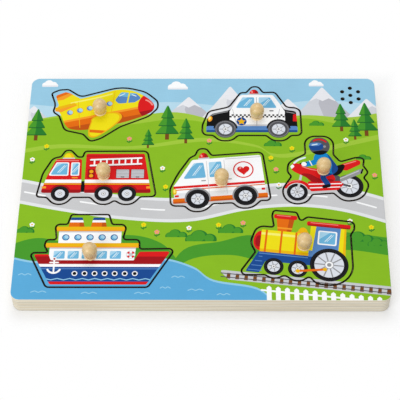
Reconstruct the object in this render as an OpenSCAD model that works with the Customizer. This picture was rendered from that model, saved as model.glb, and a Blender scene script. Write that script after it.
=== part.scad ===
// Peg puzzle: a layered plywood board with seven lift-out vehicles, each with a turned knob.
// Light sensors under the pockets, a circuit, a speaker and a battery box lie inside the board.
// The origin is at the middle of the back face, +X along the board, +Y away from the child, +Z up.

/* [Board] */
// Width of the board
board_w = 300; // [288:1:320]
// Depth of the board
board_d = 225; // [217:1:240]
// Thickness of the printed front board and of the pieces sawn out of it
front_t = 5; // [4:0.5:7]
// Thickness of the layer that closes the pockets from below
floor_t = 5; // [4.8:0.1:6]
// Thickness of the routed layer that holds the electric parts
core_t = 5; // [5:0.5:7]
// Thickness of the back board
back_t = 3; // [2.6:0.1:4]
// Radius of the board's upright corners
corner_r = 7.2; // [4:0.2:10]
// Radius of the sanded top and bottom edges
edge_r = 0.7; // [0.3:0.1:1.2]

/* [Pieces] */
// Width of the saw cut between a piece and its pocket
kerf_w = 0.9; // [0.5:0.1:1.1]
// Side of the square that the airplane is drawn in
airplane_square = 100; // [90:1:103]
// Side of the square that the police car is drawn in
police_car_square = 100; // [90:1:103]
// Side of the square that the fire engine is drawn in
fire_engine_square = 100; // [90:1:103]
// Side of the square that the ambulance is drawn in
ambulance_square = 100; // [90:1:103]
// Side of the square that the motorbike is drawn in
motorbike_square = 100; // [90:1:103]
// Side of the square that the ship is drawn in
ship_square = 100; // [90:1:103]
// Side of the square that the locomotive is drawn in
locomotive_square = 100; // [90:1:103]

/* [Knobs] */
// Widest diameter of a knob's egg-shaped head
knob_head_d = 12.3; // [10:0.1:14]
// Diameter of a knob's foot
knob_foot_d = 10.5; // [9.8:0.1:11]
// Diameter of a knob's neck
knob_neck_d = 9.6; // [7:0.1:9.8]
// Height of a knob
knob_h = 15; // [14:0.5:18]
// Height of a knob's crown, over its widest place
knob_crown_h = 6.6; // [5:0.1:7.5]
// Height of the straight rim of a knob's foot
knob_rim_h = 1; // [0.4:0.1:1.4]
// Height over which the foot flares in to the neck
knob_flare_h = 1.4; // [1:0.1:2.6]
// Diameter of a knob screw
knob_screw_d = 2.6; // [2.2:0.1:3]
// Diameter of a knob screw's head
knob_screw_head_d = 5.6; // [5:0.1:6]
// Length of a knob screw
knob_screw_l = 12; // [9:0.5:14]
// Depth of the flat rim under a knob screw's cone
screw_rim_t = 0.4; // [0.2:0.1:0.6]

/* [Sound] */
// Diameter of the speaker
speaker_d = 28; // [24:0.5:29]
// Height of the speaker's basket
basket_h = 4; // [3.4:0.1:4.4]
// Wall of the speaker's basket
basket_t = 0.6; // [0.4:0.1:0.8]
// Width of the basket's flat flange
flange_w = 2; // [1.6:0.1:2.6]
// Diameter of the basket's flat back
basket_foot_d = 18; // [16:0.5:19]
// Diameter of the speaker's magnet
magnet_d = 15; // [12:0.5:16]
// Height of the speaker's magnet
magnet_h = 3; // [2:0.1:3.2]
// Thickness of the speaker's cone
cone_t = 0.3; // [0.2:0.05:0.4]
// Depth of the speaker's cone
cone_h = 1.8; // [1.2:0.1:2.2]
// Diameter of the cone's inner edge
cone_neck_d = 9; // [7:0.5:11]
// Thickness of the foam gasket between the speaker and the front board
gasket_t = 1; // [0.6:0.1:1.4]
// Diameter of a sound hole
sound_hole_d = 3; // [2:0.1:4]
// Distance from the middle sound hole to the six round it
sound_ring_r = 8; // [6:0.5:9]

/* [Light sensors] */
// Diameter of a light sensor
sensor_d = 5; // [4:0.1:6]
// Height of a light sensor
sensor_h = 2; // [1.6:0.1:2.4]
// Diameter of the hole that a sensor looks through
view_hole_d = 3; // [2:0.1:3.6]
// Diameter of a sensor's two leads
lead_d = 0.5; // [0.4:0.1:0.6]
// Width from the middle of one lead to the middle of the other
leads_w = 3; // [2:0.1:3.4]
// Diameter of the routed bay under a sensor
sensor_bay_d = 9; // [8:0.5:10]

/* [Circuit and wires] */
// Side of the square circuit board
circuit_side = 26; // [25:0.5:28]
// Thickness of the circuit board
circuit_t = 1.6; // [1:0.1:1.7]
// Diameter of the sound chip's black cap
chip_d = 9; // [7:0.5:10]
// Height of the sound chip's black cap
chip_h = 1.4; // [0.8:0.1:1.6]
// Length of the amplifier chip
amplifier_l = 5; // [4:0.5:6]
// Height of the amplifier chip
amplifier_h = 1.5; // [1:0.1:1.8]
// Diameter of the storage capacitor
capacitor_d = 3; // [2:0.1:3.1]
// Length of the storage capacitor
capacitor_l = 6; // [5:0.5:8]
// Length of a resistor
resistor_l = 2; // [1.2:0.1:3]
// Height of a resistor
resistor_h = 0.6; // [0.4:0.1:0.8]
// Diameter of a circuit screw
circuit_screw_d = 2; // [1.6:0.1:2.4]
// Diameter of a circuit screw's head
circuit_screw_head_d = 3.8; // [3.2:0.1:4]
// Height of a circuit screw's head
circuit_screw_head_h = 1.4; // [1:0.1:1.8]
// Length of a circuit screw below its head
circuit_screw_l = 5; // [4:0.5:6]
// Diameter of the sensors' wire loom
loom_d = 3; // [2:0.1:3.1]
// Diameter of a single wire
wire_d = 1.4; // [0.8:0.1:1.4]
// Width of a routed wire channel
channel_w = 5; // [4.5:0.5:6]

/* [Battery] */
// Diameter of a cell
cell_d = 10.2; // [9.5:0.1:10.3]
// Length of a cell with its nub
cell_l = 44.5; // [40:0.5:45]
// Diameter of a cell's nub
nub_d = 3.8; // [3:0.1:5]
// Height of a cell's nub
nub_h = 1; // [0.6:0.1:1.4]
// Space round a cell in its box
cell_gap = 0.2; // [0.1:0.05:0.25]
// Length of a contact spring as it is held
spring_l = 4; // [3:0.1:5]
// Diameter of a contact spring at its wide end
spring_d = 7; // [5:0.1:8]
// Thickness of a contact plate
contact_t = 0.4; // [0.3:0.05:0.5]
// Side of a contact plate
contact_side = 8; // [6:0.5:9]
// Wall of the battery box along its sides
box_side_t = 1.2; // [1:0.1:1.6]
// Wall of the battery box at its ends
box_end_t = 2.6; // [2.4:0.1:3]
// Width of the ledge that the door closes on
ledge_w = 1.2; // [0.8:0.1:1.6]
// Thickness of the box's outer flange
box_flange_t = 1.6; // [1.2:0.1:1.8]
// Width of the box's outer flange
box_flange_w = 2.5; // [2:0.1:3]
// Length of the box's screw block
box_block_l = 7; // [6.4:0.1:8]
// Diameter of a box ear
ear_d = 8; // [7:0.5:9]
// Diameter of a box screw
box_screw_d = 2.2; // [1.8:0.1:2.4]
// Diameter of a box screw's head
box_screw_head_d = 4.4; // [4:0.1:4.6]
// Length of a box screw
box_screw_l = 7; // [5:0.5:7]
// Thickness of the battery door
door_t = 1.6; // [1.4:0.1:1.7]
// Gap round the battery door
door_gap = 0.25; // [0.2:0.05:0.35]
// Depth of the door's face under the back of the board
door_sink = 0.2; // [0.1:0.05:0.3]
// Width of a door tab
tab_w = 5; // [3:0.5:6]
// Distance from the door's edge to the middle of its tab's bead
tab_reach = 1; // [0.9:0.05:1.1]
// Diameter of the door screw
door_screw_d = 2.2; // [1.8:0.1:2.4]
// Diameter of the door screw's head
door_screw_head_d = 4.4; // [4:0.1:4.6]
// Length of the door screw
door_screw_l = 6.8; // [5:0.1:7]

/* [Back screws] */
// Diameter of a back screw
back_screw_d = 3; // [2.6:0.1:3.2]
// Diameter of a back screw's head
back_screw_head_d = 6; // [5.4:0.1:6.4]
// Length of a back screw
back_screw_l = 11; // [9:0.5:12]
// Distance from a back screw to the board's edge
back_screw_inset = 7.5; // [7:0.1:8]

/* [Hidden] */
$fn = 48;
// Overrun of every cut past the face that it opens
over = 0.5;
// Most that two neighbouring points of a rounded corner turn
arc_angle = 10;
// Most of an edge that one rounded corner may take
edge_share = 0.49;
// Clearance round a fixed part in its hole
seat_gap = 0.1;
// Clearance round a part that is dropped into a bay
bay_gap = 0.3;
// Depth of a screw head under the face that it is sunk in
head_sink = 0.2;
// Play of the door screw in its block, so that the door can swing
swing_gap = 0.5;
// Play of the door's bead in its notch
bead_gap = 0.3;
// Width and depth of a cross recess
recess_w = 0.7;
recess_h = 0.7;
// Length of a cross recess as a share of its screw's head
recess_share = 0.6;

// Heights of the layers
core_z = back_t;
floor_z = core_z + core_t;
pocket_z = floor_z + floor_t;
board_t = pocket_z + front_t;

// Rows of the vehicles in every table
AIRPLANE = 0;
POLICE_CAR = 1;
FIRE_ENGINE = 2;
AMBULANCE = 3;
MOTORBIKE = 4;
SHIP = 5;
LOCOMOTIVE = 6;
VEHICLES = [AIRPLANE : LOCOMOTIVE];

// Most of the board's width and depth that a drawing square takes, so that the pockets keep apart
square_shares = [0.335, 0.447];
squares = [
    for (side = [
        airplane_square, police_car_square, fire_engine_square, ambulance_square,
        motorbike_square, ship_square, locomotive_square
    ])
    min(side, square_shares.x * board_w, square_shares.y * board_d)
];
// Middle of each drawing square, as shares of the board's width and depth
place_shares = [
    [-0.28, 0.32], [0.14, 0.32], [-0.29, 0.02], [0.05, 0.02],
    [0.34, 0.06], [-0.27, -0.32], [0.26, -0.30]
];
// Middle of each knob, as shares of its drawing square
knob_shares = [
    [-0.043, 0.033], [0.048, -0.015], [0.05, 0.028], [0.015, -0.033],
    [-0.005, -0.009], [-0.078, 0.004], [0.048, 0.053]
];
// Middle of each light sensor, as shares of the board's width and depth
sensor_shares = [
    [-0.23, 0.355], [0.11, 0.30], [-0.23, 0.03], [0.11, -0.01],
    [0.31, -0.01], [-0.23, -0.37], [0.31, -0.28]
];
// Outlines along the middle of the saw cut, clockwise: place and corner radius as shares of the square
airplane_outline_shares = [
    [-0.478, 0.236, 0.025], [-0.410, 0.274, 0.080], [-0.332, 0.279, 0.040], [-0.220, 0.196, 0.080],
    [0.135, 0.313, 0.350], [0.343, 0.252, 0.180], [0.453, 0.147, 0.080], [0.453, 0.071, 0.070],
    [0.378, -0.019, 0.150], [0.140, -0.130, 0.200], [-0.030, -0.263, 0.200], [-0.113, -0.290, 0.040],
    [-0.178, -0.212, 0.040], [-0.341, -0.170, 0.070], [-0.396, -0.014, 0.040],
    [-0.452, 0.030, 0.040], [-0.434, 0.105, 0.120]
];
police_car_outline_shares = [
    [-0.420, -0.219, 0.060], [-0.419, -0.110, 0.120], [-0.368, 0.035, 0.060], [-0.191, 0.084, 0.080],
    [-0.090, 0.244, 0.040], [-0.042, 0.244, 0.020], [0.008, 0.310, 0.045], [0.064, 0.310, 0.045],
    [0.105, 0.245, 0.025], [0.209, 0.249, 0.045], [0.304, 0.083, 0.050], [0.423, 0.069, 0.060],
    [0.428, -0.224, 0.065], [0.338, -0.225, 0.040], [0.283, -0.282, 0.124], [0.182, -0.282, 0.124],
    [0.126, -0.226, 0.040], [-0.114, -0.225, 0.040], [-0.170, -0.282, 0.124],
    [-0.272, -0.282, 0.124], [-0.328, -0.224, 0.040]
];
fire_engine_outline_shares = [
    [-0.500, -0.189, 0.025], [-0.462, 0.046, 0.200], [-0.386, 0.206, 0.070], [-0.318, 0.224, 0.030],
    [-0.282, 0.291, 0.035], [-0.235, 0.290, 0.040], [-0.176, 0.220, 0.030], [-0.135, 0.220, 0.015],
    [-0.120, 0.280, 0.030], [0.410, 0.282, 0.045], [0.494, -0.186, 0.035], [0.365, -0.188, 0.040],
    [0.298, -0.265, 0.100], [0.209, -0.265, 0.100], [0.151, -0.223, 0.030], [0.098, -0.265, 0.100],
    [0.012, -0.265, 0.100], [-0.052, -0.194, 0.040], [-0.200, -0.195, 0.030],
    [-0.260, -0.265, 0.100], [-0.352, -0.265, 0.100], [-0.412, -0.195, 0.035]
];
ambulance_outline_shares = [
    [-0.404, -0.279, 0.040], [-0.413, -0.110, 0.100], [-0.355, 0.038, 0.400], [-0.252, 0.212, 0.070],
    [-0.208, 0.239, 0.025], [-0.180, 0.308, 0.045], [-0.113, 0.308, 0.045], [-0.069, 0.237, 0.030],
    [0.360, 0.274, 0.045], [0.423, -0.222, 0.040], [0.339, -0.223, 0.030], [0.264, -0.300, 0.124],
    [0.160, -0.300, 0.124], [0.106, -0.247, 0.040], [-0.056, -0.256, 0.040],
    [-0.127, -0.335, 0.124], [-0.234, -0.335, 0.124], [-0.289, -0.281, 0.040]
];
motorbike_outline_shares = [
    [-0.149, 0.164, 0.025], [-0.153, 0.351, 0.123], [0.096, 0.351, 0.123], [0.086, 0.156, 0.040],
    [0.141, 0.082, 0.030], [0.275, 0.128, 0.100], [0.344, 0.120, 0.045], [0.330, 0.042, 0.030],
    [0.369, -0.026, 0.035], [0.326, -0.083, 0.025], [0.371, -0.149, 0.147], [0.311, -0.297, 0.147],
    [0.153, -0.326, 0.147], [0.070, -0.239, 0.030], [-0.106, -0.253, 0.030],
    [-0.149, -0.329, 0.118], [-0.246, -0.356, 0.118], [-0.333, -0.304, 0.118],
    [-0.355, -0.205, 0.118], [-0.273, -0.069, 0.025], [-0.306, -0.020, 0.060],
    [-0.296, 0.066, 0.070], [-0.244, 0.108, 0.200]
];
ship_outline_shares = [
    [-0.253, 0.399, 0.022], [0.056, 0.399, 0.022], [0.084, 0.302, 0.025], [0.206, 0.301, 0.040],
    [0.176, 0.155, 0.025], [0.312, 0.155, 0.032], [0.315, 0.065, 0.025], [0.606, 0.071, 0.032],
    [0.392, -0.293, 0.040], [-0.416, -0.294, 0.040], [-0.570, 0.028, 0.028], [-0.420, 0.030, 0.012],
    [-0.454, 0.098, 0.050], [-0.440, 0.154, 0.030], [-0.358, 0.154, 0.022], [-0.380, 0.303, 0.036],
    [-0.279, 0.303, 0.022]
];
locomotive_outline_shares = [
    [-0.189, 0.234, 0.018], [-0.202, 0.345, 0.060], [-0.190, 0.399, 0.028], [0.000, 0.378, 0.028],
    [0.027, 0.289, 0.020], [0.086, 0.333, 0.040], [0.466, 0.282, 0.045], [0.460, 0.210, 0.040],
    [0.429, 0.160, 0.040], [0.431, -0.212, 0.189], [0.303, -0.325, 0.189], [0.133, -0.303, 0.189],
    [0.082, -0.234, 0.025], [0.020, -0.275, 0.080], [-0.042, -0.275, 0.080], [-0.114, -0.223, 0.040],
    [-0.170, -0.250, 0.090], [-0.224, -0.250, 0.080], [-0.270, -0.220, 0.030],
    [-0.486, -0.219, 0.034], [-0.343, -0.004, 0.025], [-0.386, 0.088, 0.120], [-0.326, 0.247, 0.080]
];
outline_shares = [
    airplane_outline_shares, police_car_outline_shares, fire_engine_outline_shares,
    ambulance_outline_shares, motorbike_outline_shares, ship_outline_shares,
    locomotive_outline_shares
];

// Places of the speaker, the circuit, the wire channels and the battery box, as shares of the board
speaker_shares = [0.428, 0.415];
circuit_shares = [-0.04, 0.18];
battery_shares = [0.01, -0.305];
battery_wire_share = -0.01;
// Back screws along the front and back edges stand at this share of the board's width
back_screw_share = 0.17;
// Distance of the box's ears from its middle, as a share of the box's length
ear_share = 0.32;

function on_board(shares) = [shares.x * board_w, shares.y * board_d];
function unit(v) = v / norm(v);
function left_of(d) = [-d.y, d.x];
function turned(v, a) = [v.x * cos(a) - v.y * sin(a), v.x * sin(a) + v.y * cos(a)];

speaker_at = on_board(speaker_shares);
circuit_at = on_board(circuit_shares);
battery_at = on_board(battery_shares);
battery_wire_x = battery_wire_share * board_w;

// Points of one rounded corner of a clockwise outline, moved out of it by grow
function corner(before, at, after, r, grow) =
    let (
        way_in = unit(at - before),
        way_out = unit(after - at),
        turn = atan2(cross(way_in, way_out), way_in * way_out),
        side = turn < 0 ? 1 : -1,
        lean = tan(abs(turn) / 2),
        fit_r = min(r, edge_share * min(norm(at - before), norm(after - at)) / lean),
        middle = at - way_in * fit_r * lean - side * left_of(way_in) * fit_r,
        steps = ceil(abs(turn) / arc_angle)
    )
    [for (k = [0 : steps])
        middle + (side * fit_r + grow) * turned(left_of(way_in), turn * k / steps)];

// A whole outline of line and arc from its rows of shares
function outline(shares, square, grow) =
    let (n = len(shares), at = [for (s = shares) [s.x, s.y] * square])
    [for (i = [0 : n - 1])
        each corner(at[(i + n - 1) % n], at[i], at[(i + 1) % n], shares[i].z * square, grow)];

function knob_at(i) = on_board(place_shares[i]) + knob_shares[i] * squares[i];

// The flat shape of one vehicle: smaller than the saw line for a piece, larger for its pocket
module vehicle_plan(i, grow) {
    translate(on_board(place_shares[i]))
        polygon(outline(outline_shares[i], squares[i], grow));
}

module board_plan() {
    square([board_w - 2 * corner_r, board_d], center = true);
    square([board_w, board_d - 2 * corner_r], center = true);
    for (x = [-1, 1], y = [-1, 1])
        translate([x * (board_w / 2 - corner_r), y * (board_d / 2 - corner_r)])
            circle(corner_r);
}

// What sanding takes off an edge, in the plane across it
module edge_profile() {
    difference() {
        square(edge_r + over);
        circle(edge_r);
    }
}

// What sanding takes off all round the top of a board whose top face is at z = 0
module edge_cut() {
    for (quarter = [0 : 3])
        let (out = quarter % 2 == 0 ? board_w : board_d, run = quarter % 2 == 0 ? board_d : board_w)
        rotate([0, 0, quarter * 90]) {
            rotate([90, 0, 0])
                translate([out / 2 - edge_r, -edge_r, corner_r - run / 2])
                linear_extrude(run - 2 * corner_r)
                edge_profile();
            translate([out / 2 - corner_r, run / 2 - corner_r, -edge_r])
                rotate_extrude(angle = 90)
                translate([corner_r - edge_r, 0])
                edge_profile();
        }
}

module layer(z, t) {
    translate([0, 0, z]) linear_extrude(t) children();
}

// A countersunk screw that points up from z = 0, its length over all
module sunk_screw(d, head_d, length) {
    cone_h = (head_d - d) / 2;
    difference() {
        union() {
            cylinder(d = head_d, h = screw_rim_t);
            translate([0, 0, screw_rim_t]) cylinder(d1 = head_d, d2 = d, h = cone_h);
            cylinder(d = d, h = length);
        }
        for (a = [0, 90])
            rotate([0, 0, a])
                translate([-head_d * recess_share / 2, -recess_w / 2, -over])
                cube([head_d * recess_share, recess_w, recess_h + over]);
    }
}

// The hole for a countersunk screw, from the face that it is sunk in
module sunk_hole(d, head_d, length, sink) {
    bore_d = d + 2 * seat_gap;
    mouth_d = head_d + 2 * seat_gap;
    translate([0, 0, -over]) cylinder(d = mouth_d, h = over + sink + screw_rim_t);
    translate([0, 0, sink + screw_rim_t])
        cylinder(d1 = mouth_d, d2 = bore_d, h = (mouth_d - bore_d) / 2);
    cylinder(d = bore_d, h = length + sink + seat_gap);
}

// A straight round rod between two places
module rod(from, to, d) {
    way = to - from;
    translate(from)
        rotate([0, acos(way.z / norm(way)), atan2(way.y, way.x)])
        cylinder(d = d, h = norm(way));
}

function back_screw_places() = concat(
    [for (x = [-1, 1], y = [-1, 0, 1])
        [x * (board_w / 2 - back_screw_inset), y * (board_d / 2 - back_screw_inset)]],
    [for (x = [-1, 1], y = [-1, 1])
        [x * back_screw_share * board_w, y * (board_d / 2 - back_screw_inset)]]
);

module back_screw_holes() {
    for (at = back_screw_places())
        translate(at) sunk_hole(back_screw_d, back_screw_head_d, back_screw_l, head_sink);
}

// Sound holes: one in the middle and a ring round it
sound_ring_holes = 6;
function sound_hole_places() = concat(
    [speaker_at],
    [for (k = [1 : sound_ring_holes])
        speaker_at + sound_ring_r * turned([0, 1], k * 360 / sound_ring_holes)]
);

module front_board() {
    color("burlywood")
    difference() {
        layer(pocket_z, front_t) difference() {
            board_plan();
            for (i = VEHICLES) vehicle_plan(i, kerf_w / 2);
        }
        for (at = sound_hole_places())
            translate([at.x, at.y, pocket_z - over])
                cylinder(d = sound_hole_d, h = front_t + 2 * over);
        translate([0, 0, board_t]) edge_cut();
    }
}

// Battery box, from the cells outwards
cavity_w = 2 * cell_d + 3 * cell_gap;
cavity_l = cell_l + spring_l + 2 * contact_t;
mouth_w = cavity_w + 2 * ledge_w;
mouth_l = cavity_l + 2 * ledge_w + box_block_l;
box_w = mouth_w + 2 * box_side_t;
box_l = mouth_l + 2 * box_end_t;
box_h = pocket_z;
ledge_z = door_sink + door_t;
cell_z = ledge_z + cell_gap + cell_d / 2;
cavity_h = cell_d + 2 * cell_gap;
cell_x = (cell_d + cell_gap) / 2;
// The cells lie at the hinge end of the box and the screw block at its other end
cavity_y = -mouth_l / 2 + ledge_w;
door_end_y = -mouth_l / 2 + door_gap;
hinge_y = door_end_y - tab_reach;
bead_d = door_t;
hinge_z = door_sink + bead_d / 2;
door_screw_y = mouth_l / 2 - ledge_w - box_block_l / 2;
tab_x = mouth_w / 4;

module at_battery() {
    translate([battery_at.x, battery_at.y]) children();
}

module box_bay(z, t, gap) {
    at_battery() translate([-box_w / 2 - gap, -box_l / 2 - gap, z])
        cube([box_w + 2 * gap, box_l + 2 * gap, t]);
}

function ear_places() = [for (x = [-1, 1], y = [-1, 1])
    [x * (box_w / 2 + box_flange_w + ear_d / 8), y * ear_share * box_l]];

module ear_plan(gap) {
    for (at = ear_places()) translate(at) circle(d = ear_d + 2 * gap);
}

module flange_plan(gap) {
    square([box_w + 2 * (box_flange_w + gap), box_l + 2 * (box_flange_w + gap)], center = true);
    ear_plan(gap);
}

module box_screw_holes() {
    for (at = ear_places())
        translate(at) sunk_hole(box_screw_d, box_screw_head_d, box_screw_l, head_sink);
}

module floor_board() {
    color("wheat")
    difference() {
        layer(floor_z, floor_t) board_plan();
        for (i = VEHICLES) translate(on_board(sensor_shares[i])) {
            translate([0, 0, floor_z]) cylinder(d = view_hole_d, h = floor_t + over);
            translate([0, 0, floor_z - over])
                cylinder(d = sensor_d + 2 * seat_gap, h = over + sensor_h + seat_gap);
        }
        translate([speaker_at.x, speaker_at.y, floor_z - over])
            cylinder(d = speaker_d + 2 * bay_gap, h = floor_t + 2 * over);
        box_bay(floor_z - over, floor_t + 2 * over, seat_gap);
        back_screw_holes();
        circuit_screw_shanks(seat_gap);
    }
}

trunk_y = circuit_at.y;
bay_side = circuit_side + 2 * bay_gap;

// A straight routed channel along X or Y between two places
module channel(from, to) {
    low = [min(from.x, to.x), min(from.y, to.y)];
    size = [abs(to.x - from.x), abs(to.y - from.y)];
    translate([low.x - channel_w / 2, low.y - channel_w / 2, core_z - over])
        cube([size.x + channel_w, size.y + channel_w, core_t + 2 * over]);
}

module core_board() {
    color("burlywood")
    difference() {
        layer(core_z, core_t) board_plan();
        for (i = VEHICLES) let (at = on_board(sensor_shares[i])) {
            translate([at.x, at.y, core_z - over])
                cylinder(d = sensor_bay_d, h = core_t + 2 * over);
            channel([at.x, trunk_y], at);
            channel([circuit_at.x, trunk_y], [at.x, trunk_y]);
        }
        channel([circuit_at.x, trunk_y], [speaker_at.x, trunk_y]);
        channel([speaker_at.x, trunk_y], speaker_at);
        channel([battery_wire_x, battery_at.y + box_l / 2], [battery_wire_x, trunk_y]);
        translate([speaker_at.x, speaker_at.y, core_z - over])
            cylinder(d = speaker_d + 2 * bay_gap, h = core_t + 2 * over);
        translate([circuit_at.x - bay_side / 2, circuit_at.y - bay_side / 2, core_z - over])
            cube([bay_side, bay_side, core_t + 2 * over]);
        box_bay(core_z - over, core_t + 2 * over, seat_gap);
        back_screw_holes();
        at_battery() box_screw_holes();
    }
}

module back_board() {
    color("tan")
    difference() {
        layer(0, back_t) board_plan();
        box_bay(-over, back_t + 2 * over, seat_gap);
        at_battery() translate([0, 0, -over])
            linear_extrude(over + box_flange_t) flange_plan(seat_gap);
        back_screw_holes();
        at_battery() box_screw_holes();
        mirror([0, 0, 1]) edge_cut();
    }
}

module back_screws() {
    color("silver")
    for (at = back_screw_places())
        translate([at.x, at.y, head_sink])
            sunk_screw(back_screw_d, back_screw_head_d, back_screw_l);
}

// A piece: the vehicle's shape with a countersunk hole from below for its knob's screw
module wooden_piece(i, tint) {
    color(tint)
    difference() {
        layer(pocket_z, front_t) vehicle_plan(i, -kerf_w / 2);
        translate([knob_at(i).x, knob_at(i).y, pocket_z])
            sunk_hole(knob_screw_d, knob_screw_head_d, knob_screw_l, head_sink);
    }
}

module airplane_piece() { wooden_piece(AIRPLANE, "gold"); }
module police_car_piece() { wooden_piece(POLICE_CAR, "white"); }
module fire_engine_piece() { wooden_piece(FIRE_ENGINE, "crimson"); }
module ambulance_piece() { wooden_piece(AMBULANCE, "whitesmoke"); }
module motorbike_piece() { wooden_piece(MOTORBIKE, "firebrick"); }
module ship_piece() { wooden_piece(SHIP, "steelblue"); }
module locomotive_piece() { wooden_piece(LOCOMOTIVE, "royalblue"); }

head_r = knob_head_d / 2;
neck_r = knob_neck_d / 2;
neck_z = knob_rim_h + knob_flare_h;
widest_z = knob_h - knob_crown_h;
// Angle below the head's widest place at which the neck meets it
neck_angle = acos(neck_r / head_r);
// Half height of the ellipse that the head follows from the neck to its widest place
belly_h = (widest_z - neck_z) / sin(neck_angle);
knob_steps = 12;

// Half outline of a knob: foot, flare, neck, and a head of two ellipses of one width
function knob_profile() = concat(
    [[0, 0], [knob_foot_d / 2, 0], [knob_foot_d / 2, knob_rim_h]],
    [for (k = [1 : knob_steps]) let (s = k / knob_steps)
        [neck_r + (knob_foot_d / 2 - neck_r) * pow(1 - s, 2), knob_rim_h + knob_flare_h * s]],
    [for (k = [1 : knob_steps]) let (a = -neck_angle + (90 + neck_angle) * k / knob_steps)
        [k == knob_steps ? 0 : head_r * cos(a), widest_z + (a < 0 ? belly_h : knob_crown_h) * sin(a)]]
);

module turned_knob(i) {
    color("navajowhite")
    translate([knob_at(i).x, knob_at(i).y, board_t])
    difference() {
        rotate_extrude() polygon(knob_profile());
        translate([0, 0, -over])
            cylinder(d = knob_screw_d + 2 * seat_gap,
                h = over + knob_screw_l + head_sink + seat_gap - front_t);
    }
}

module airplane_knob() { turned_knob(AIRPLANE); }
module police_car_knob() { turned_knob(POLICE_CAR); }
module fire_engine_knob() { turned_knob(FIRE_ENGINE); }
module ambulance_knob() { turned_knob(AMBULANCE); }
module motorbike_knob() { turned_knob(MOTORBIKE); }
module ship_knob() { turned_knob(SHIP); }
module locomotive_knob() { turned_knob(LOCOMOTIVE); }

module knob_screw(i) {
    color("silver")
    translate([knob_at(i).x, knob_at(i).y, pocket_z + head_sink])
        sunk_screw(knob_screw_d, knob_screw_head_d, knob_screw_l);
}

module airplane_screw() { knob_screw(AIRPLANE); }
module police_car_screw() { knob_screw(POLICE_CAR); }
module fire_engine_screw() { knob_screw(FIRE_ENGINE); }
module ambulance_screw() { knob_screw(AMBULANCE); }
module motorbike_screw() { knob_screw(MOTORBIKE); }
module ship_screw() { knob_screw(SHIP); }
module locomotive_screw() { knob_screw(LOCOMOTIVE); }

// The speaker hangs from the front board under the sound holes
cone_z = pocket_z - gasket_t - cone_t;
basket_z = cone_z - basket_h;

// Wires lie on the back board, and the speaker's wires run just under the speaker's basket
loom_z = core_z + seat_gap + loom_d / 2;
speaker_wire_z = basket_z - seat_gap - wire_d / 2;

module light_sensor(i) {
    color("lightcoral")
    translate(on_board(sensor_shares[i])) {
        translate([0, 0, floor_z]) cylinder(d = sensor_d, h = sensor_h);
        for (side = [-1, 1])
            translate([0, side * leads_w / 2, loom_z + wire_d / 2 + seat_gap])
                cylinder(d = lead_d, h = floor_z + sensor_h / 2 - loom_z - wire_d / 2 - seat_gap);
    }
}

module airplane_sensor() { light_sensor(AIRPLANE); }
module police_car_sensor() { light_sensor(POLICE_CAR); }
module fire_engine_sensor() { light_sensor(FIRE_ENGINE); }
module ambulance_sensor() { light_sensor(AMBULANCE); }
module motorbike_sensor() { light_sensor(MOTORBIKE); }
module ship_sensor() { light_sensor(SHIP); }
module locomotive_sensor() { light_sensor(LOCOMOTIVE); }

// Circuit board, hung with its parts under the floor board
circuit_z = floor_z - circuit_t;
circuit_screw_reach = circuit_side / 2 - circuit_screw_head_d / 2 - 2 * seat_gap;

function circuit_screw_places() = [for (side = [-1, 1])
    circuit_at + side * circuit_screw_reach * [1, 1]];

module circuit_screw_shanks(gap) {
    for (at = circuit_screw_places())
        translate([at.x, at.y, circuit_z - over])
            cylinder(d = circuit_screw_d + 2 * gap, h = over + circuit_screw_l + gap);
}

module circuit_board() {
    color("darkgreen")
    difference() {
        translate([circuit_at.x - circuit_side / 2, circuit_at.y - circuit_side / 2, circuit_z])
            cube([circuit_side, circuit_side, circuit_t]);
        circuit_screw_shanks(seat_gap);
    }
}

// Places of the parts on the circuit board, as shares of its side
chip_shares = [0.17, -0.17];
amplifier_shares = [-0.2, 0.22];
capacitor_shares = [-0.08, -0.31];
resistor_shares = [[0.05, 0.12], [0.05, 0.22], [0.05, 0.32], [0.2, 0.2]];
// Width of the amplifier chip and of a resistor as shares of their lengths
chip_width_share = 0.8;
resistor_width_share = 0.5;
// The sound chip's cap bulges by this share of its height above its rim
cap_bulge_share = 0.7;

function on_circuit(shares) = circuit_at + shares * circuit_side;

module sound_chip() {
    bulge_h = chip_h * cap_bulge_share;
    ball_r = (pow(chip_d / 2, 2) + pow(bulge_h, 2)) / (2 * bulge_h);
    color("black")
    translate([on_circuit(chip_shares).x, on_circuit(chip_shares).y, circuit_z - chip_h])
    intersection() {
        cylinder(d = chip_d, h = chip_h);
        translate([0, 0, ball_r]) sphere(ball_r);
    }
}

module flat_part(shares, length, width, height) {
    at = on_circuit(shares);
    translate([at.x - length / 2, at.y - width / 2, circuit_z - height])
        cube([length, width, height]);
}

module amplifier_chip() {
    color("dimgray")
    flat_part(amplifier_shares, amplifier_l, amplifier_l * chip_width_share, amplifier_h);
}

module storage_capacitor() {
    at = on_circuit(capacitor_shares);
    color("navy")
    translate([at.x - capacitor_l / 2, at.y, circuit_z - capacitor_d / 2])
        rotate([0, 90, 0]) cylinder(d = capacitor_d, h = capacitor_l);
}

module resistors() {
    color("saddlebrown")
    for (at = resistor_shares)
        flat_part(at, resistor_l, resistor_l * resistor_width_share, resistor_h);
}

module circuit_screws() {
    color("silver")
    for (at = circuit_screw_places())
        translate([at.x, at.y, circuit_z]) {
            cylinder(d = circuit_screw_d, h = circuit_screw_l);
            translate([0, 0, -circuit_screw_head_h])
                cylinder(d = circuit_screw_head_d, h = circuit_screw_head_h);
        }
}

speaker_r = speaker_d / 2;
mouth_r = speaker_r - flange_w;

module at_speaker(z) {
    translate([speaker_at.x, speaker_at.y, z]) children();
}

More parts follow.
